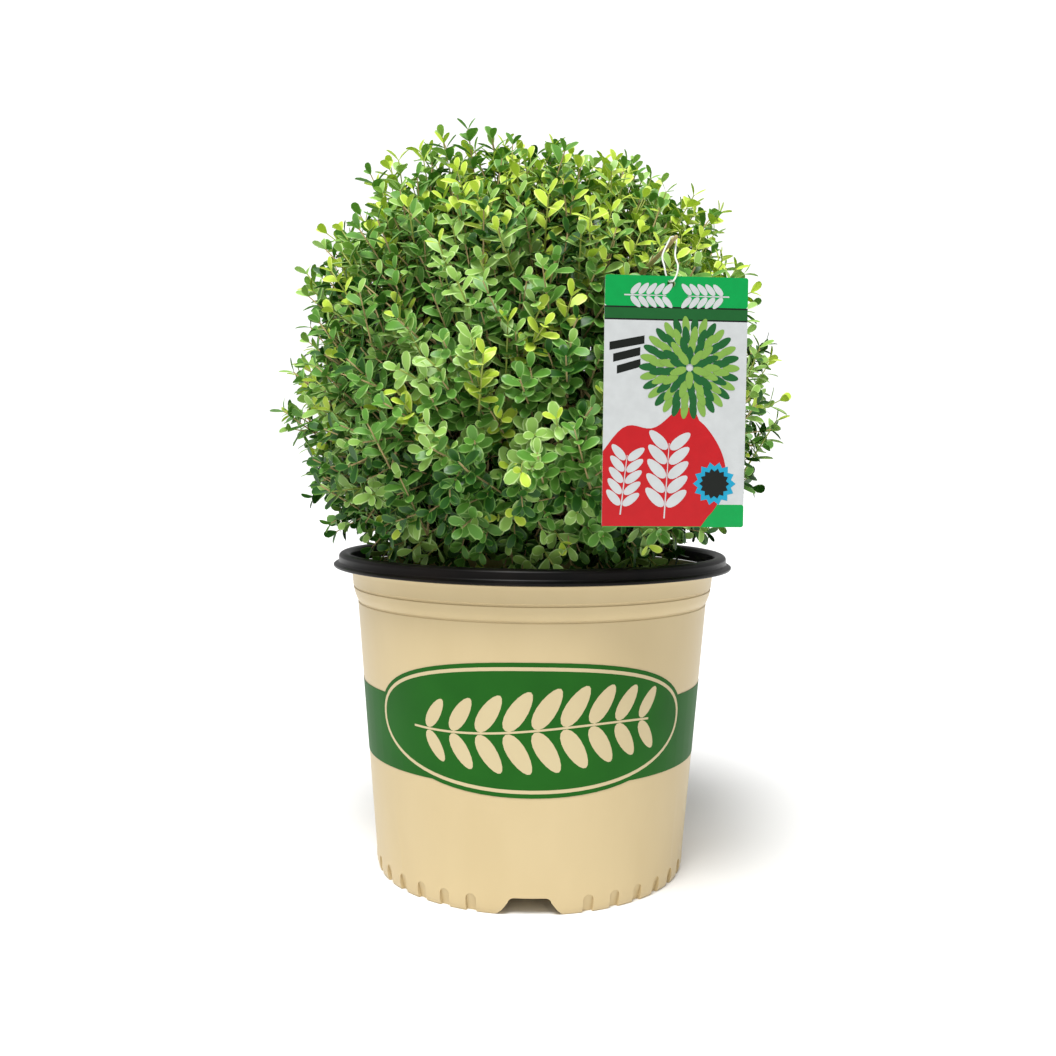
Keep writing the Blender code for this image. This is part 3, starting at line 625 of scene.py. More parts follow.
def makePrint():
    s = printShape
    green = grainFinish("print_green", s["greenDark"], s["green"], 0.50, 30.0, 0.05, 0.0002, specular=0.12)
    cream = grainFinish("print_cream", s["creamDark"], s["cream"], 0.38, 30.0, 0.05, 0.0002)
    finishes = {"print_green": green, "print_cream": cream}
    band, bandEnd = [], 360 - s["bandStart"]
    for first in range(s["bandStart"], bandEnd, 6):
        last = min(first + 6, bandEnd)
        corners = ((first, "bandLow"), (last, "bandLow"), (last, "bandHigh"), (first, "bandHigh"))
        band.append([(angle, s[edge]) for angle, edge in corners])
    wallLayer("pot_band", band, s["lift"], green)
    lift = s["lift"]
    for index, (share, finishName) in enumerate(s["rimLines"]):
        lift += s["layer"]
        wallLayer(f"pot_panel_{index + 1}", [ovalPoints(share)], lift, finishes[finishName])
    wallLayer("pot_sprig", sprigShapes(), lift + s["layer"], cream)
    print("print")


# Potting mix

soilShape = {
    "top": 0.2000,
    "drop": 0.0040,
    "bottom": 0.0140,
    "radius": 0.1205,
    "rings": 44,
    "spokes": 120,
    "lump": 0.0022,
    "chips": 2600,
    "chipSize": (0.0015, 0.0060),
    "perlite": 70,
    "perliteSize": (0.0012, 0.0026),
    "bottomRadius": 0.1070,
    "seed": 5,
}


def makeSoil():
    s = soilShape
    rng = np.random.default_rng(s["seed"])
    points = [(0.0, 0.0, s["top"])]
    for ring in range(1, s["rings"] + 1):
        share = ring / s["rings"]
        for spoke in range(s["spokes"]):
            turn = math.tau * spoke / s["spokes"]
            x, y = share * s["radius"] * math.cos(turn), share * s["radius"] * math.sin(turn)
            lump = noise.fractal(Vector((x, y, 0.0)) * 90.0, 0.6, 2.2, 4) * s["lump"]
            points.append((x, y, s["top"] - s["drop"] * share**2 - 0.0016 + lump))
    rim = len(points) - s["spokes"]
    lowest = len(points)
    for spoke in range(s["spokes"]):
        x, y = points[rim + spoke][:2]
        shrink = s["bottomRadius"] / s["radius"]
        points.append((x * shrink, y * shrink, s["bottom"]))
    points.append((0.0, 0.0, s["bottom"]))
    faces = []
    for spoke in range(s["spokes"]):
        follow = (spoke + 1) % s["spokes"]
        faces.append((0, 1 + spoke, 1 + follow))
        for ring in range(s["rings"]):
            near = 1 + ring * s["spokes"]
            far = near + s["spokes"]
            faces.append((near + spoke, far + spoke, far + follow))
            faces.append((near + spoke, far + follow, near + follow))
        faces.append((len(points) - 1, lowest + follow, lowest + spoke))
    mix = (0.018, 0.011, 0.007), (0.085, 0.052, 0.030)
    brown = grainFinish("potting_mix", *mix, 0.95, 170.0, 0.8, 0.0010)
    made = arrayPiece("soil_body", points, faces, [brown])
    settle(made, ["soil"])
    bark, pale = ((0.030, 0.017, 0.010), (0.150, 0.088, 0.048)), ((0.62, 0.60, 0.55), (0.80, 0.78, 0.74))
    chipBrown = grainFinish("bark_chips", *bark, 0.9, 260.0, 0.5, 0.0004)
    white = grainFinish("perlite", *pale, 0.9, 300.0, 0.4, 0.0003)
    for name, count, low, high, finish, flat in (
        ("soil_chips", s["chips"], *s["chipSize"], chipBrown, 0.35),
        ("soil_perlite", s["perlite"], *s["perliteSize"], white, 0.9),
    ):
        scatterChips(name, count, low, high, finish, flat, rng)
    print("soil")


def scatterChips(name, count, low, high, finish, flat, rng):
    s = soilShape
    corners = np.array(
        [(x, y, z) for x in (-0.5, 0.5) for y in (-0.5, 0.5) for z in (-0.5, 0.5)], float
    )
    sides = np.array(
        [
            (0, 1, 3), (0, 3, 2), (4, 6, 7), (4, 7, 5), (0, 4, 5), (0, 5, 1),
            (2, 3, 7), (2, 7, 6), (0, 2, 6), (0, 6, 4), (1, 5, 7), (1, 7, 3),
        ]
    )
    points, faces = [], []
    for index in range(count):
        radius = s["radius"] * 0.97 * math.sqrt(rng.uniform(0.01, 1.0))
        turn = rng.uniform(0.0, math.tau)
        size = rng.uniform(low, high)
        shape = corners * (size, size * rng.uniform(0.3, 0.7), size * flat * rng.uniform(0.3, 0.8))
        shape = shape * rng.uniform(0.6, 1.0, (8, 1))
        tilt = Matrix.Rotation(rng.uniform(-0.5, 0.5), 3, "X")
        spin = Matrix.Rotation(rng.uniform(0.0, math.tau), 3, "Z") @ tilt
        x, y = radius * math.cos(turn), radius * math.sin(turn)
        z = s["top"] - s["drop"] * (radius / s["radius"]) ** 2 - 0.0006
        points.append(shape @ np.array(spin).T + (x, y, z))
        faces.append(sides + 8 * index)
    made = arrayPiece(name, np.vstack(points), np.vstack(faces), [finish])
    made.data.shade_flat()
    settle(made)


# Foliage: the same rule as the solids', carried to finer twigs

crown = {
    "middle": Vector((-0.0020, 0.0, 0.3380)),
    "reach": 0.1710,
    "boughEnd": 0.0800,
    "gap": 0.0003,
    "fork": 0.1040,
    "limbNode": 0.1180,
    "limbTips": 12,
    "upperCount": 5,
    "upperElevation": 38.0,
    "lowerCount": 7,
    "lowerElevation": -12.0,
    "lowestTip": -58.0,
    "tips": 1480,
    "innerTips": 520,
    "clump": (5.5, 0.055),
    "sprouts": 0.20,
    "sprout": (0.995, 1.045),
    "clipped": (0.865, 0.985),
    "inner": (0.74, 0.90),
    "longLength": 0.055,
    "forkRadii": (0.0029, 0.0025),
    "limbRadii": (0.0022, 0.0019, 0.0016),
    "seed": 11,
}
outlineLobes = (  # azimuth, elevation, rise, spread in degrees
    (180, 54, 0.0140, 18), (180, 33, 0.0060, 9), (180, 12, -0.0060, 9),
    (180, -9, 0.0070, 8), (182, -34, 0.0070, 13), (0, 64, 0.0070, 14),
    (0, 42, 0.0100, 9), (0, 5, -0.0020, 10), (0, -24, 0.0060, 9),
    (0, -44, -0.0060, 10), (250, 12, 0.0040, 16), (100, 20, 0.0060, 16),
    (70, -20, 0.0050, 14), (130, 50, 0.0070, 14), (60, 52, 0.0040, 14),
    (250, 55, 0.0060, 14), (120, -35, 0.0050, 14),
)
longShoots = (  # azimuth, elevation, reach
    (190, 83, 0.1775), (20, 84, 0.1760), (182, 66, 0.1870), (176, 52, 0.1880),
    (185, 36, 0.1860), (180, 24, 0.1790), (183, -7, 0.1785), (178, -27, 0.1830),
    (184, -37, 0.1800), (174, -35, 0.1780), (-2, 66, 0.1800), (-4, 43, 0.1860),
    (2, 24, 0.1790), (5, -4, 0.1765), (-6, -24, 0.1790), (-3, -36, 0.1730),
    (92, 24, 0.1780), (75, -12, 0.1780), (268, -20, 0.1780), (262, 30, 0.1770),
)
shoot = {
    "length": (0.034, 0.058),
    "spacing": 0.0078,
    "leafLength": 0.0136,
    "leafWidth": 0.0071,
    "woodRadius": 0.0010,
    "tipRadius": 0.0005,
    "pairAngle": 57.0,
    "tipAngle": 34.0,
    "tipSize": 0.74,
    "lighterTips": 0.45,
    "facing": (0.9, 0.50, 0.40),  # along the shoot, out of the crown, up
    "tilt": 0.24,
    "lift": 0.62,
    "lowLift": 0.20,
    "wood": (0.400, 0.310, 0.130),
    "youngWood": (0.330, 0.390, 0.070),
}


def crownReach(toward):
    reach = crown["reach"]
    for azimuth, elevation, rise, spread in outlineLobes:
        away = math.degrees(toward.angle(direction(azimuth, elevation)))
        reach += rise * math.exp(-((away / spread) ** 2))
    return reach


def massDirections():
    made = {"top": up.copy()}
    for index in range(crown["upperCount"]):
        azimuth = 270 - index * 360 / crown["upperCount"]
        made[f"upper_{index + 1}"] = direction(azimuth, crown["upperElevation"])
    for index in range(crown["lowerCount"]):
        azimuth = 270 - (index + 0.5) * 360 / crown["lowerCount"]
        made[f"lower_{index + 1}"] = direction(azimuth, crown["lowerElevation"])
    return made


def evenDirections(count, rng):
    lowest = math.sin(math.radians(crown["lowestTip"]))
    found = []
    for index in range(count):
        height = 1.0 - (index + 0.5) / count * (1.0 - lowest)
        turn = index * math.pi * (3.0 - math.sqrt(5.0)) + rng.uniform(-0.10, 0.10)
        height = min(max(height + rng.uniform(-0.012, 0.012), lowest), 0.9999)
        level = math.sqrt(1.0 - height * height)
        found.append(Vector((level * math.cos(turn), level * math.sin(turn), height)))
    return found


def heldUp(toward, reach):
    # A shoot that would end in the mix or the rim stops short of it
    floor = soilShape["top"] + 0.010
    if toward.z < 0:
        reach = min(reach, (crown["middle"].z - floor) / -toward.z)
        outward = math.hypot(toward.x, toward.y) * reach
        ending = crown["middle"].z + toward.z * reach
        if outward > rimShape["inner"] - 0.004 and ending < rimShape["top"] + 0.006:
            reach = min(reach, (rimShape["inner"] - 0.006) / math.hypot(toward.x, toward.y))
    return reach


def tipsByMass(rng):
    homes = massDirections()
    dealt = {name: [] for name in homes}
    tips = [(direction(azimuth, elevation), reach, "long") for azimuth, elevation, reach in longShoots]
    for toward in evenDirections(crown["tips"], rng):
        share = crown["sprout"] if rng.random() < crown["sprouts"] else crown["clipped"]
        scale, rise = crown["clump"]
        clump = 1.0 + rise * noise.noise(toward * scale)
        tips.append((toward, crownReach(toward) * clump * rng.uniform(*share), "outer"))
    for toward in evenDirections(crown["innerTips"], rng):
        tips.append((toward, crownReach(toward) * rng.uniform(*crown["inner"]), "inner"))
    for toward, reach, layer in tips:
        home = max(homes, key=lambda name: homes[name].dot(toward))
        dealt[home].append((toward, heldUp(toward, reach), layer))
    return homes, dealt


def clearOfPot(place):
    widest = math.hypot(place.x, place.y)
    floor = soilShape["top"] if widest < rimShape["inner"] - 0.003 else rimShape["top"]
    return place.z > floor + 0.0015


leafColours = {  # leaf and its margin, dark to light: darker inside and under the crown as painted shade, lighter on its top and upper right as painted light, and on its youngest shoots
    "deep": ((0.018, 0.092, 0.008), (0.085, 0.215, 0.028)),
    "mid": ((0.105, 0.285, 0.036), (0.245, 0.450, 0.110)),
    "bright": ((0.290, 0.510, 0.100), (0.490, 0.690, 0.250)),
    "young": ((0.500, 0.680, 0.060), (0.680, 0.800, 0.170)),
}
shades = list(leafColours)


def sprayToneAndPaintedLight(toward, layer, rng):
    # The spray's colour as a step in the list of shades: darker inside the crown and underneath it as
    # painted shade, lighter on its top and upper right as painted light
    weights = [0.15, 0.46, 0.31, 0.08]
    if layer == "inner":
        weights = [0.78, 0.22, 0.0, 0.0]
    elif toward.z < -0.30:
        weights = [0.42, 0.42, 0.16, 0.0]
    elif toward.z > 0.55 or (toward.x > 0.35 and toward.z > 0.2):
        weights = [0.03, 0.30, 0.42, 0.25]
    return rng.choices(range(len(shades)), weights)[0]


class Foliage:
    # Leaves as rows of numbers, by shade, with the twigs that bear them

    def __init__(self, rng):
        self.rng = rng
        self.rows = {shade: [] for shade in shades}
        self.wood = Heap()
        self.green = Heap()

    def addLeaf(self, step, root, out, facing, length):
        tip = root + out * length
        if not (clearOfPot(root) and clearOfPot(tip)) or nearTag(root) or nearTag(tip):
            return
        normal = facing - out * facing.dot(out)
        if normal.length < 0.05:
            return
        normal.normalize()
        across = out.cross(normal)
        width = length * shoot["leafWidth"] / shoot["leafLength"] * self.rng.uniform(0.90, 1.12)
        bend, fold = self.rng.uniform(0.02, 0.20), self.rng.uniform(0.5, 1.4)
        row = (*root, *across, *out, *normal, length, width, bend, fold)
        self.rows[shades[min(step, len(shades) - 1)]].append(row)

    def addShoot(self, base, end, toward, step):
        rng = self.rng
        axis = (end - base).normalized()
        side = Matrix.Rotation(rng.uniform(0.0, math.pi), 3, axis) @ axis.orthogonal().normalized()
        pairs = max(int((end - base).length / shoot["spacing"]), 2)
        for pair in range(pairs):
            spot = end - axis * (0.0010 + pair * shoot["spacing"] * rng.uniform(0.92, 1.08))
            lean = shoot["tipAngle"] if pair == 0 else shoot["pairAngle"]
            share = shoot["tipSize"] if pair == 0 else 1.0
            lighter = 1 if pair == 0 and step > 0 and rng.random() < shoot["lighterTips"] else 0
            ahead, outward, rise = shoot["facing"]
            facing = axis * ahead + toward * outward + up * rise
            for sign in (-1.0, 1.0):
                angle = math.radians(lean + rng.uniform(-10.0, 10.0))
                out = (axis * math.cos(angle) + side * sign * math.sin(angle)).normalized()
                length = shoot["leafLength"] * share * rng.uniform(0.86, 1.10)
                self.addLeaf(step + lighter, spot, out, facing, length)
            side = axis.cross(side).normalized()
        # Sprays given the lighter steps, partly painted light on the crown's top, get the lime twig
        young = self.green if step >= 2 else self.wood
        young.tube([base, end], [shoot["woodRadius"] * 0.8, shoot["tipRadius"]], 4)

    def growMass(self, home, tips):
        middle = crown["middle"]
        start = middle + home * (crown["boughEnd"] + crown["gap"])
        fork = middle + home * crown["fork"]
        self.wood.tube([start, fork], crown["forkRadii"], 8)
        side = home.orthogonal().normalized()
        across = home.cross(side)
        ordered = sorted(tips, key=lambda tip: math.atan2(tip[0].dot(across), tip[0].dot(side)))
        for first in range(0, len(ordered), crown["limbTips"]):
            group = ordered[first : first + crown["limbTips"]]
            mean = sum((toward for toward, reach, layer in group), Vector()).normalized()
            node = middle + blend(home, mean, 0.8).normalized() * crown["limbNode"]
            limb = [fork - home * 0.002, blend(fork, node, 0.5), node]
            self.wood.tube(limb, crown["limbRadii"], 6)
            for toward, reach, layer in group:
                self.growTip(node, mean, toward, reach, layer)

    def growTip(self, node, mean, toward, reach, layer):
        rng = self.rng
        middle = crown["middle"]
        tilt = Vector((rng.gauss(0, 1), rng.gauss(0, 1), rng.gauss(0, 1))) * shoot["tilt"]
        lift = shoot["lift"] if toward.z > -0.4 else shoot["lowLift"]
        axis = (toward + tilt + up * lift).normalized()
        end = middle + toward * (reach - shoot["leafLength"] * 0.62)
        base = end - axis * rng.uniform(*shoot["length"])
        if layer == "long":
            base = end - toward * crown["longLength"]
        if nearTag(end) or nearTag(base) or not clearOfPot(end):
            return
        bend = middle + blend(mean, toward, 0.6).normalized() * (crown["limbNode"] + 0.004)
        path = [node, blend(node, bend, 0.6), blend(bend, base, 0.5), base]
        if all(clearOfPot(place) for place in path):
            self.wood.tube(path, [0.0014, 0.0012, 0.0010, shoot["woodRadius"] * 0.8], 4)
        step = sprayToneAndPaintedLight(toward, layer, rng)
        self.addShoot(base, end, toward, step)


# Leaf: rows across it from its foot to its tip

leafShape = {
    "rows": ((0.13, 0.36), (0.42, 0.90), (0.72, 1.00), (0.92, 0.62)),  # place, share of half width
    "columns": (-1.0, -0.76, 0.0, 0.76, 1.0),
    "rise": (0.10, 0.14, 0.0, 0.14, 0.10),
    "leavesPerPiece": 6000,
    "roughness": 0.38,
}


def leafTemplate():
    points = [(0.0, 0.0, 0.0)]
    for place, half in leafShape["rows"]:
        for column, rise in zip(leafShape["columns"], leafShape["rise"]):
            points.append((column * half * 0.5, place, rise * half))
    points.append((0.0, 0.985, 0.0))
    wide = len(leafShape["columns"])
    tip = len(points) - 1
    faces, slots = [], []
    for column in range(wide - 1):
        edge = 1 if column in (0, wide - 2) else 0
        faces.append((0, 2 + column, 1 + column))
        slots.append(edge)
        for row in range(len(leafShape["rows"]) - 1):
            near = 1 + row * wide + column
            faces.append((near, near + 1, near + wide + 1))
            faces.append((near, near + wide + 1, near + wide))
            slots += [edge, edge]
        last = 1 + (len(leafShape["rows"]) - 1) * wide + column
        faces.append((last, last + 1, tip))
        slots.append(edge)
    return np.array(points), np.array(faces), np.array(slots)


def makeLeaves(foliage, masses):
    template, faces, slots = leafTemplate()
    for shade in shades:
        leafColour, marginColour = leafColours[shade]
        finishes = [
            plainFinish(f"leaf_{shade}", leafColour, leafShape["roughness"], 0.34),
            plainFinish(f"leaf_margin_{shade}", marginColour, leafShape["roughness"] + 0.06, 0.34),
        ]
        rows = np.array(foliage.rows[shade])
        pieces = math.ceil(len(rows) / leafShape["leavesPerPiece"])
        for index, part in enumerate(np.array_split(rows, pieces)):
            root, across, out, normal = part[:, 0:3], part[:, 3:6], part[:, 6:9], part[:, 9:12]
            length, width, bend, fold = (part[:, column, None] for column in range(12, 16))
            sideways = template[None, :, 0] * width
            forward = template[None, :, 1] * length
            lift = template[None, :, 2] * width * fold - bend * length * template[None, :, 1] ** 2
            points = (
                root[:, None, :]
                + sideways[..., None] * across[:, None, :]
                + forward[..., None] * out[:, None, :]
                + lift[..., None] * normal[:, None, :]
            )
            starts = np.arange(len(part))[:, None, None] * len(template)
            name = f"leaves_{shade}_{index + 1}"
            made = arrayPiece(
                name,
                points.reshape(-1, 3),
                (faces[None, :, :] + starts).reshape(-1, 3),
                finishes,
                np.tile(slots, len(part)),
            )
            settle(made, masses)
        print("leaves", shade, len(rows))


def makeCrown():
    rng = random.Random(crown["seed"])
    foliage = Foliage(rng)
    homes, dealt = tipsByMass(rng)
    for name, home in homes.items():
        foliage.growMass(home, dealt[name])
    growHanger(foliage)
    masses = [f"foliage_{name}" for name in homes]
    makeLeaves(foliage, masses)
    tan = plainFinish("twig_bark", shoot["wood"], 0.75)
    lime = plainFinish("young_twig", shoot["youngWood"], 0.55)
    settle(foliage.wood.piece("twigs_woody", [tan]), masses)
    settle(foliage.green.piece("twigs_young", [lime]), masses)
    print("crown")


# Stem and boughs with bark relief

stem = {
    "foot": 0.2003,
    "tip": 0.2900,
    "lean": Vector((0.0035, -0.0025, 0.0)),
    "footRadius": 0.0125,
    "radius": 0.0088,
    "tipRadius": 0.0068,
    "sides": 36,
    "rings": 60,
    "boughRadius": 0.0038,
    "boughTip": 0.0029,
    "lowerStart": 0.2360,
    "upperStart": 0.2640,
    "stagger": 0.0090,
    "springOut": 0.0270,
    "springUp": 0.0170,
    "approach": 0.0300,
    "flare": 0.020,
    "leaderHandle": 0.040,
    "points": 24,
    "barkDark": (0.100, 0.066, 0.038),
    "barkLight": (0.300, 0.215, 0.130),
}


def stemAxis(height):
    share = (height - soilShape["top"]) / (stem["tip"] - soilShape["top"])
    return up * height + stem["lean"] * (0.6 * share + 0.4 * share * share)


def barkRelief(point, out, angle):
    # Long low ridges, with finer cracks across them
    ridge = 0.055 * math.sin(angle * 7.0 + point.z * 60.0)
    crack = noise.noise((point + out * 0.02) * 260.0) * 0.075
    return 0.955 + ridge * 0.5 + crack * 0.5


def makeStem():
    colours = stem["barkDark"], stem["barkLight"]
    bark = grainFinish("stem_bark", *colours, 0.9, 150.0, 0.7, 0.0006, (1, 1, 0.3))
    trunk = Heap()
    path, radii = [], []
    for index in range(stem["rings"] + 1):
        height = blend(stem["foot"], stem["tip"], index / stem["rings"])
        above = height - stem["foot"]
        widen = max(1.0 - above / stem["flare"], 0.0) ** 2
        slim = blend(stem["radius"], stem["tipRadius"], above / (stem["tip"] - stem["foot"]))
        path.append(stemAxis(height))
        radii.append(slim + (stem["footRadius"] - stem["radius"]) * widen)
    trunk.tube(path, radii, stem["sides"], barkRelief)
    settle(trunk.piece("stem_body", [bark]), ["main_stem"])
    limbs, nodes, count = Heap(), [], stem["points"]

    def tapered(thick):
        return [blend(thick, stem["boughTip"], k / (count - 1)) for k in range(count)]

    for number, (name, toward) in enumerate(massDirections().items()):
        tip = crown["middle"] + toward * crown["boughEnd"]
        nodes.append(f"bough_{name}")
        if number == 0:
            start, rise = stemAxis(stem["tip"]) + up * crown["gap"], up * stem["leaderHandle"]
            limbs.tube(
                bezier(start, start + rise, tip - rise, tip, count),
                tapered(stem["tipRadius"] * 0.85),
                14,
                barkRelief,
            )
            continue
        if number <= crown["upperCount"]:
            around, base = crown["upperCount"], stem["upperStart"]
            level = (number - 1) * 2 % around
        else:
            around, base = crown["lowerCount"], stem["lowerStart"]
            level = (number - crown["upperCount"] - 1) * 3 % around
        start = stemAxis(base + stem["stagger"] * level / (around - 1))
        flat = Vector((toward.x, toward.y, 0.0)).normalized()
        spring = start + flat * stem["springOut"] + up * stem["springUp"]
        path = bezier(start + flat * 0.004, spring, tip - toward * stem["approach"], tip, count)
        limbs.tube(path, tapered(stem["boughRadius"]), 14, barkRelief)
    settle(limbs.piece("boughs", [bark]), nodes)
    print("stem and boughs")


# Hang tag

tag = {
    "width": 0.0825,
    "height": 0.1420,
    "thickness": 0.0006,
    "corner": 0.0015,
    "holeRadius": 0.0023,
    "holeDrop": 0.0042,
    "holeShift": -0.0034,
    "place": Vector((0.0762, -0.1586, 0.3874)),
    "yaw": 6.0,
    "loopRadius": 0.0005,
    "loopPoints": 140,
    "hanger": Vector((0.0784, -0.1460, 0.4139)),
    "hangerRadius": 0.0012,
    "hangerEnd": 0.0060,
    "hangerOut": Vector((0.10, -1.0, 0.18)),
    "layer": 0.00005,
    "header": 0.0172,
    "stripe": 0.0078,
    "stripeEdge": 0.0009,
    "footer": 0.0130,
    "redHeight": 0.0520,
    "rosette": ((0.0262, 30), (0.0205, 24), (0.0148, 17), (0.0090, 10)),  # reach, leaves in the ring
    "rosettePlace": (0.0080, -0.0262),
    "rosetteLeaf": (0.0100, 0.0050),
    "sprigs": ((0.0105, -0.006, 0.034, 84.0), (0.0360, -0.008, 0.043, 87.0)),
    "headSprig": (0.0110, 0.0062, 0.0240),
    "strips": (0.0200, 0.0155, 0.0135),
    "burst": (0.0175, 0.0120, 0.0125, 0.0088),
}
tagInks = {
    "green": (0.000, 0.300, 0.060),
    "deep_green": (0.010, 0.100, 0.022),
    "red": (0.460, 0.008, 0.012),
    "black": (0.006, 0.008, 0.006),
    "pale": (0.520, 0.540, 0.540),
    "lime": (0.190, 0.350, 0.060),
    "blue": (0.010, 0.300, 0.480),
}


def cardMatrix():
    return Matrix.Translation(tag["place"]) @ Matrix.Rotation(math.radians(tag["yaw"]), 4, "Z")


cardInverse = cardMatrix().inverted()


def nearTag(place):
    # True in front of or at the card, or round the loop above it
    own = cardInverse @ place
    half = tag["width"] / 2 + 0.0015
    across = abs(own.x + tag["holeShift"]) < half
    if across and tag["holeDrop"] - tag["height"] - 0.002 < own.z < tag["holeDrop"] + 0.002:
        return own.y < 0.0022
    return abs(own.x) < 0.0055 and -0.004 < own.y < 0.0165 and 0.0 < own.z < 0.0310


def roundedCard(low=None, high=None, left=None, right=None, corner=None):
    # The card's outline, or a smaller rounded rectangle on it, in its hole's frame
    half = tag["width"] / 2
    left = -half - tag["holeShift"] if left is None else left
    right = half - tag["holeShift"] if right is None else right
    low = tag["holeDrop"] - tag["height"] if low is None else low
    high = tag["holeDrop"] if high is None else high
    corner = tag["corner"] if corner is None else corner
    points = []
    for x, z, first in (
        (right - corner, high - corner, 0),
        (left + corner, high - corner, 90),
        (left + corner, low + corner, 180),
        (right - corner, low + corner, 270),
    ):
        for step in range(7):
            angle = math.radians(first + step * 15)
            points.append((x + corner * math.cos(angle), z + corner * math.sin(angle)))
    return points


def holeOutline(count=32):
    return ringPoints([tag["holeRadius"]] * count)


def cardLayer(name, outlines, depth, finish, nodes=(), thick=0.0):
    # Each outline is a flat face; a second ring inside the first is a hole through it
    bm = bmesh.new()
    for rings in outlines:
        edges = []
        for ring in rings:
            corners = [bm.verts.new((x, depth, z)) for x, z in ring]
            for index, corner in enumerate(corners):
                edges.append(bm.edges.new((corner, corners[(index + 1) % len(corners)])))
        bmesh.ops.triangle_fill(bm, use_beauty=True, use_dissolve=False, edges=edges)
    if thick:
        sheet = bmesh.ops.extrude_face_region(bm, geom=list(bm.faces))
        moved = [item for item in sheet["geom"] if isinstance(item, bmesh.types.BMVert)]
        bmesh.ops.translate(bm, vec=(0.0, thick, 0.0), verts=moved)
        bmesh.ops.recalc_face_normals(bm, faces=bm.faces)
    else:
        for face in bm.faces:
            face.normal_update()
            if face.normal.y > 0:
                face.normal_flip()
    bmesh.ops.transform(bm, matrix=cardMatrix(), verts=bm.verts)
    settle(meshPiece(bm, name, [finish], 30.0), nodes)


def burstOutline(x, z, radius, points=14):
    return ringPoints([radius, radius * 0.80] * points, x, z)


def tagSprig(x, z, length, lean):
    # A stalk with leaves in pairs, drawn as flat outlines
    turn = math.radians(lean)
    stalk = ((0, -0.0004), (length, -0.0002), (length, 0.0002), (0, 0.0004))
    shapes = [[turnedBy(stalk, turn, x, z)]]
    for pair in range(5):
        root = length * (0.16 + 0.19 * pair)
        for side in (1, -1):
            leaf = leafOutline(length * 0.34, length * 0.16)
            ring = turnedBy(leaf, math.radians(48.0) * side, root, side * (0.0004 + length * 0.012))
            shapes.append([turnedBy(ring, turn, x, z)])
    return shapes


def makeTag():
    half = tag["width"] / 2
    left, right = -half - tag["holeShift"], half - tag["holeShift"]
    high, low = tag["holeDrop"], tag["holeDrop"] - tag["height"]
    card = grainFinish("tag_paper", (0.80, 0.81, 0.80), (0.88, 0.89, 0.88), 0.30, 240.0, 0.04, 0.0001)
    back, thick = -tag["thickness"] / 2, tag["thickness"]
    outlines = [[roundedCard(), holeOutline()]]
    cardLayer("tag_paper_card", outlines, back, card, ["tag_card"], thick)
    inks = {}
    for name, colour in tagInks.items():
        dark = tuple(channel * 0.93 for channel in colour)
        inks[name] = grainFinish(f"tag_{name}", dark, colour, 0.28, 160.0, 0.03, 0.0001)
    depth = [back - tag["layer"] * step for step in range(1, 12)]

    def bar(z0, z1, corner=0.0001):
        return roundedCard(low=z0, high=z1, corner=corner)

    headLow, footHigh = high - tag["header"], low + tag["footer"]
    bandLow, edge = headLow - tag["stripe"], tag["stripeEdge"]
    cardLayer("tag_header", [[bar(headLow, high, 0.0014), holeOutline()]], depth[0], inks["green"])
    cardLayer("tag_footer", [[bar(low, footHigh, 0.0014)]], depth[0], inks["green"])
    cardLayer("tag_edges", [[bar(bandLow, headLow)]], depth[0], inks["black"])
    cardLayer("tag_stripes", [[bar(bandLow + edge, headLow - edge)]], depth[1], inks["deep_green"])
    cardLayer("tag_panel", [[bar(footHigh, bandLow)]], depth[0], inks["pale"])
    redTop = footHigh + tag["redHeight"]
    wave = [(left, low + 0.0004), (right - 0.0250, low + 0.0004)]
    for step in range(21):  # the red field's right side, then its top
        share = step / 20
        x = right - 0.0210 + 0.0130 * math.sin(math.pi * share) ** 0.8 - 0.0060 * share
        wave.append((x, blend(low + 0.006, redTop - 0.004, share)))
    for step in range(1, 21):
        share = step / 20
        x = blend(right - 0.0270, left, share)
        wave.append((x, redTop - 0.020 * share * share + 0.0040 * math.sin(share * 10.0)))
    cardLayer("tag_red_field", [[wave]], depth[1], inks["red"])
    shiftX, shiftZ = tag["rosettePlace"]
    for ring, (reach, count) in enumerate(tag["rosette"]):
        dark, light = [], []
        inner = reach - 0.0070
        for step in range(count):
            turn = math.tau * (step + 0.5 * (ring % 2)) / count
            x = (left + right) / 2 + shiftX + inner * math.cos(turn)
            z = bandLow + shiftZ + inner * math.sin(turn)
            leaf = turnedBy(leafOutline(*tag["rosetteLeaf"]), turn, x, z)
            (dark if (step + ring) % 2 else light).append([leaf])
        cardLayer(f"tag_rosette_dark_{ring + 1}", dark, depth[2 + ring * 2], inks["deep_green"])
        cardLayer(f"tag_rosette_light_{ring + 1}", light, depth[3 + ring * 2], inks["lime"])
    sprigs = []
    for x, z, length, lean in tag["sprigs"]:
        sprigs += tagSprig(left + x, footHigh + z, length, lean)
    cardLayer("tag_sprig_pale", sprigs, depth[2], inks["pale"])
    strips = []
    for step, long in enumerate(tag["strips"]):
        x, z = left + 0.0030 + 0.0022 * step, bandLow - 0.0125 - 0.0066 * step
        strips.append([[(x, z - 0.0046), (x + long, z - 0.0006), (x + long, z + 0.0040), (x, z)]])
    cardLayer("tag_strips", strips, depth[1], inks["black"])
    inward, raised, burst, burstMiddle = tag["burst"]
    star = (right - inward, footHigh + raised)
    cardLayer("tag_burst", [[burstOutline(*star, burst)]], depth[2], inks["blue"])
    cardLayer("tag_burst_middle", [[burstOutline(*star, burstMiddle)]], depth[3], inks["black"])
    inward, raised, length = tag["headSprig"]
    heads = tagSprig(left + inward, headLow + raised, length, 0.0)
    heads += tagSprig(right - inward, headLow + raised, length, 180.0)
    cardLayer("tag_head_sprig", heads, depth[2], inks["pale"])
    makeLoop()
    print("tag")


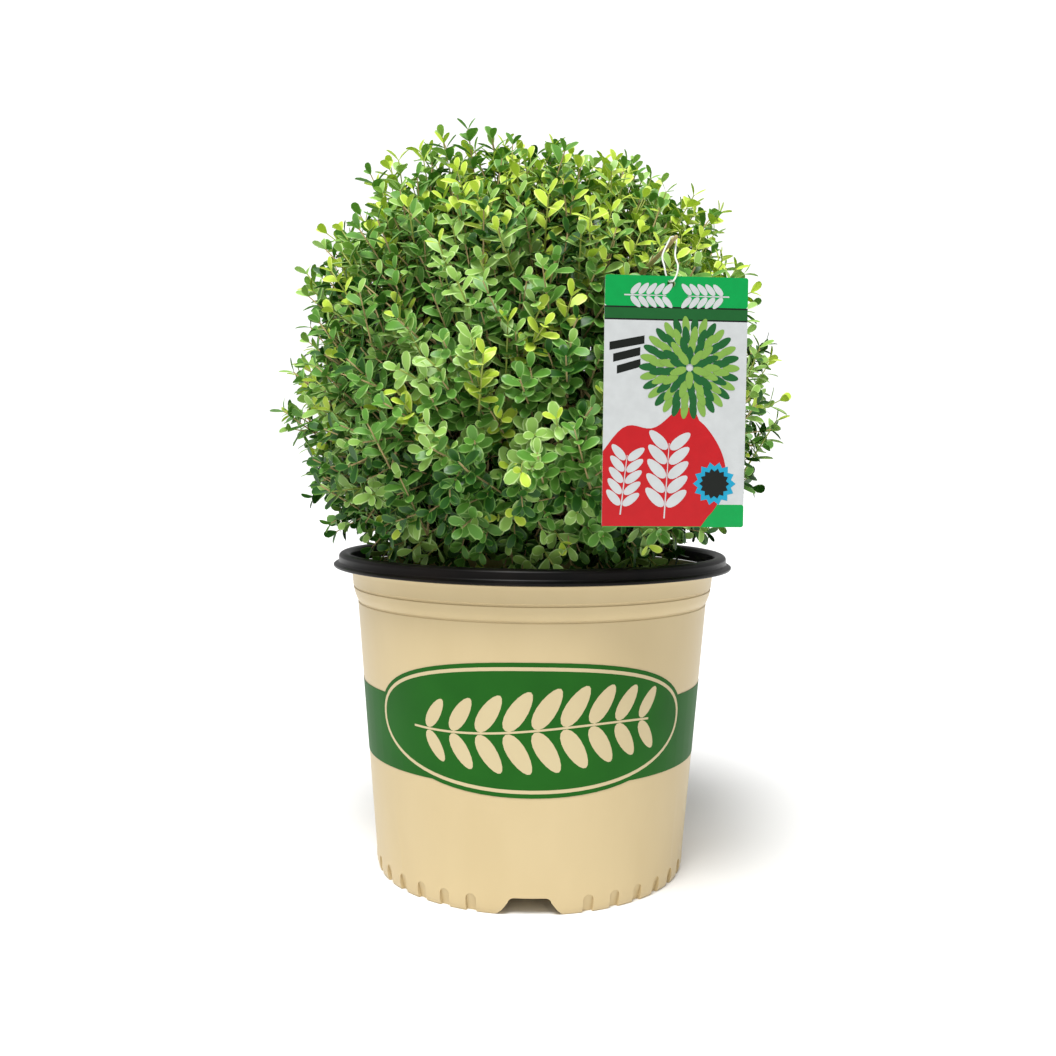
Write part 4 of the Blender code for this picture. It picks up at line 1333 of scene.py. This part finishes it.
def loopRoute():
    through = tag["holeRadius"] - crown["gap"] - tag["loopRadius"] - 0.0002
    hanger = cardInverse @ tag["hanger"]
    over = tag["hangerRadius"] * 1.1 + crown["gap"] + tag["loopRadius"]
    front = [
        Vector((0.0010, -0.0014, through + 0.0002)),
        Vector((0.0026, -0.0020, 0.0048)),
        Vector((0.0035, -0.0010, 0.0100)),
        Vector((0.0036, hanger.y * 0.55, 0.0170)),
    ]
    back = [
        Vector((-0.0036, hanger.y * 0.60, 0.0170)),
        Vector((-0.0034, 0.0030, 0.0100)),
        Vector((-0.0024, 0.0022, 0.0046)),
        Vector((-0.0009, 0.0014, through + 0.0002)),
    ]
    top = []
    for degrees in (10, 50, 90, 130, 170):
        angle = math.radians(degrees)
        top.append(hanger + Vector((over * math.cos(angle), 0.0, over * math.sin(angle))))
    return [Vector((0.0, 0.0, through))] + front + top + back


def makeLoop():
    knots = loopRoute()
    total = len(knots)
    steps = tag["loopPoints"] // total
    route = []
    for index in range(total):
        before, start, end, after = (knots[(index + step) % total] for step in (-1, 0, 1, 2))
        for step in range(steps):
            t = step / steps
            route.append(
                0.5
                * (
                    start * 2.0
                    + (end - before) * t
                    + (before * 2.0 - start * 5.0 + end * 4.0 - after) * t * t
                    + (start * 3.0 - before - end * 3.0 + after) * t**3
                )
            )
    curve = bpy.data.curves.new("tag_elastic", "CURVE")
    curve.dimensions = "3D"
    curve.bevel_depth = tag["loopRadius"]
    curve.bevel_resolution = 3
    spline = curve.splines.new("POLY")
    spline.points.add(len(route) - 1)
    for point, spot in zip(spline.points, route):
        point.co = (*(cardMatrix() @ spot), 1.0)
    spline.use_cyclic_u = True
    made = bpy.data.objects.new("tag_elastic", curve)
    bpy.context.scene.collection.objects.link(made)
    white = (0.70, 0.71, 0.67), (0.86, 0.87, 0.83)
    curve.materials.append(grainFinish("white_elastic", *white, 0.55, 900.0, 0.4, 0.0002))
    settle(made, ["tag_loop"])


def growHanger(foliage):
    # The twig that carries the loop, out of the crown and through the loop
    toward = (tag["hanger"] - crown["middle"]).normalized()
    out = (cardMatrix().to_3x3() @ tag["hangerOut"]).normalized()
    inside = crown["middle"] + toward * crown["limbNode"]
    end = tag["hanger"] + out * tag["hangerEnd"]
    before = tag["hanger"] - out * 0.006
    radii = [0.0018, tag["hangerRadius"], tag["hangerRadius"] * 0.9]
    foliage.wood.tube([inside, before, end], radii, 8)
    side = out.orthogonal().normalized()
    for quarter in range(4):
        leafOut = (out * 0.75 + side * 0.66).normalized()
        foliage.addLeaf(2, end - out * 0.0008, leafOut, out + up * 0.4, 0.0115)
        side = out.cross(side).normalized()


setCamera()
setStudio()
makePot()
makeRim()
makePrint()
makeSoil()
makeCrown()
makeStem()
makeTag()
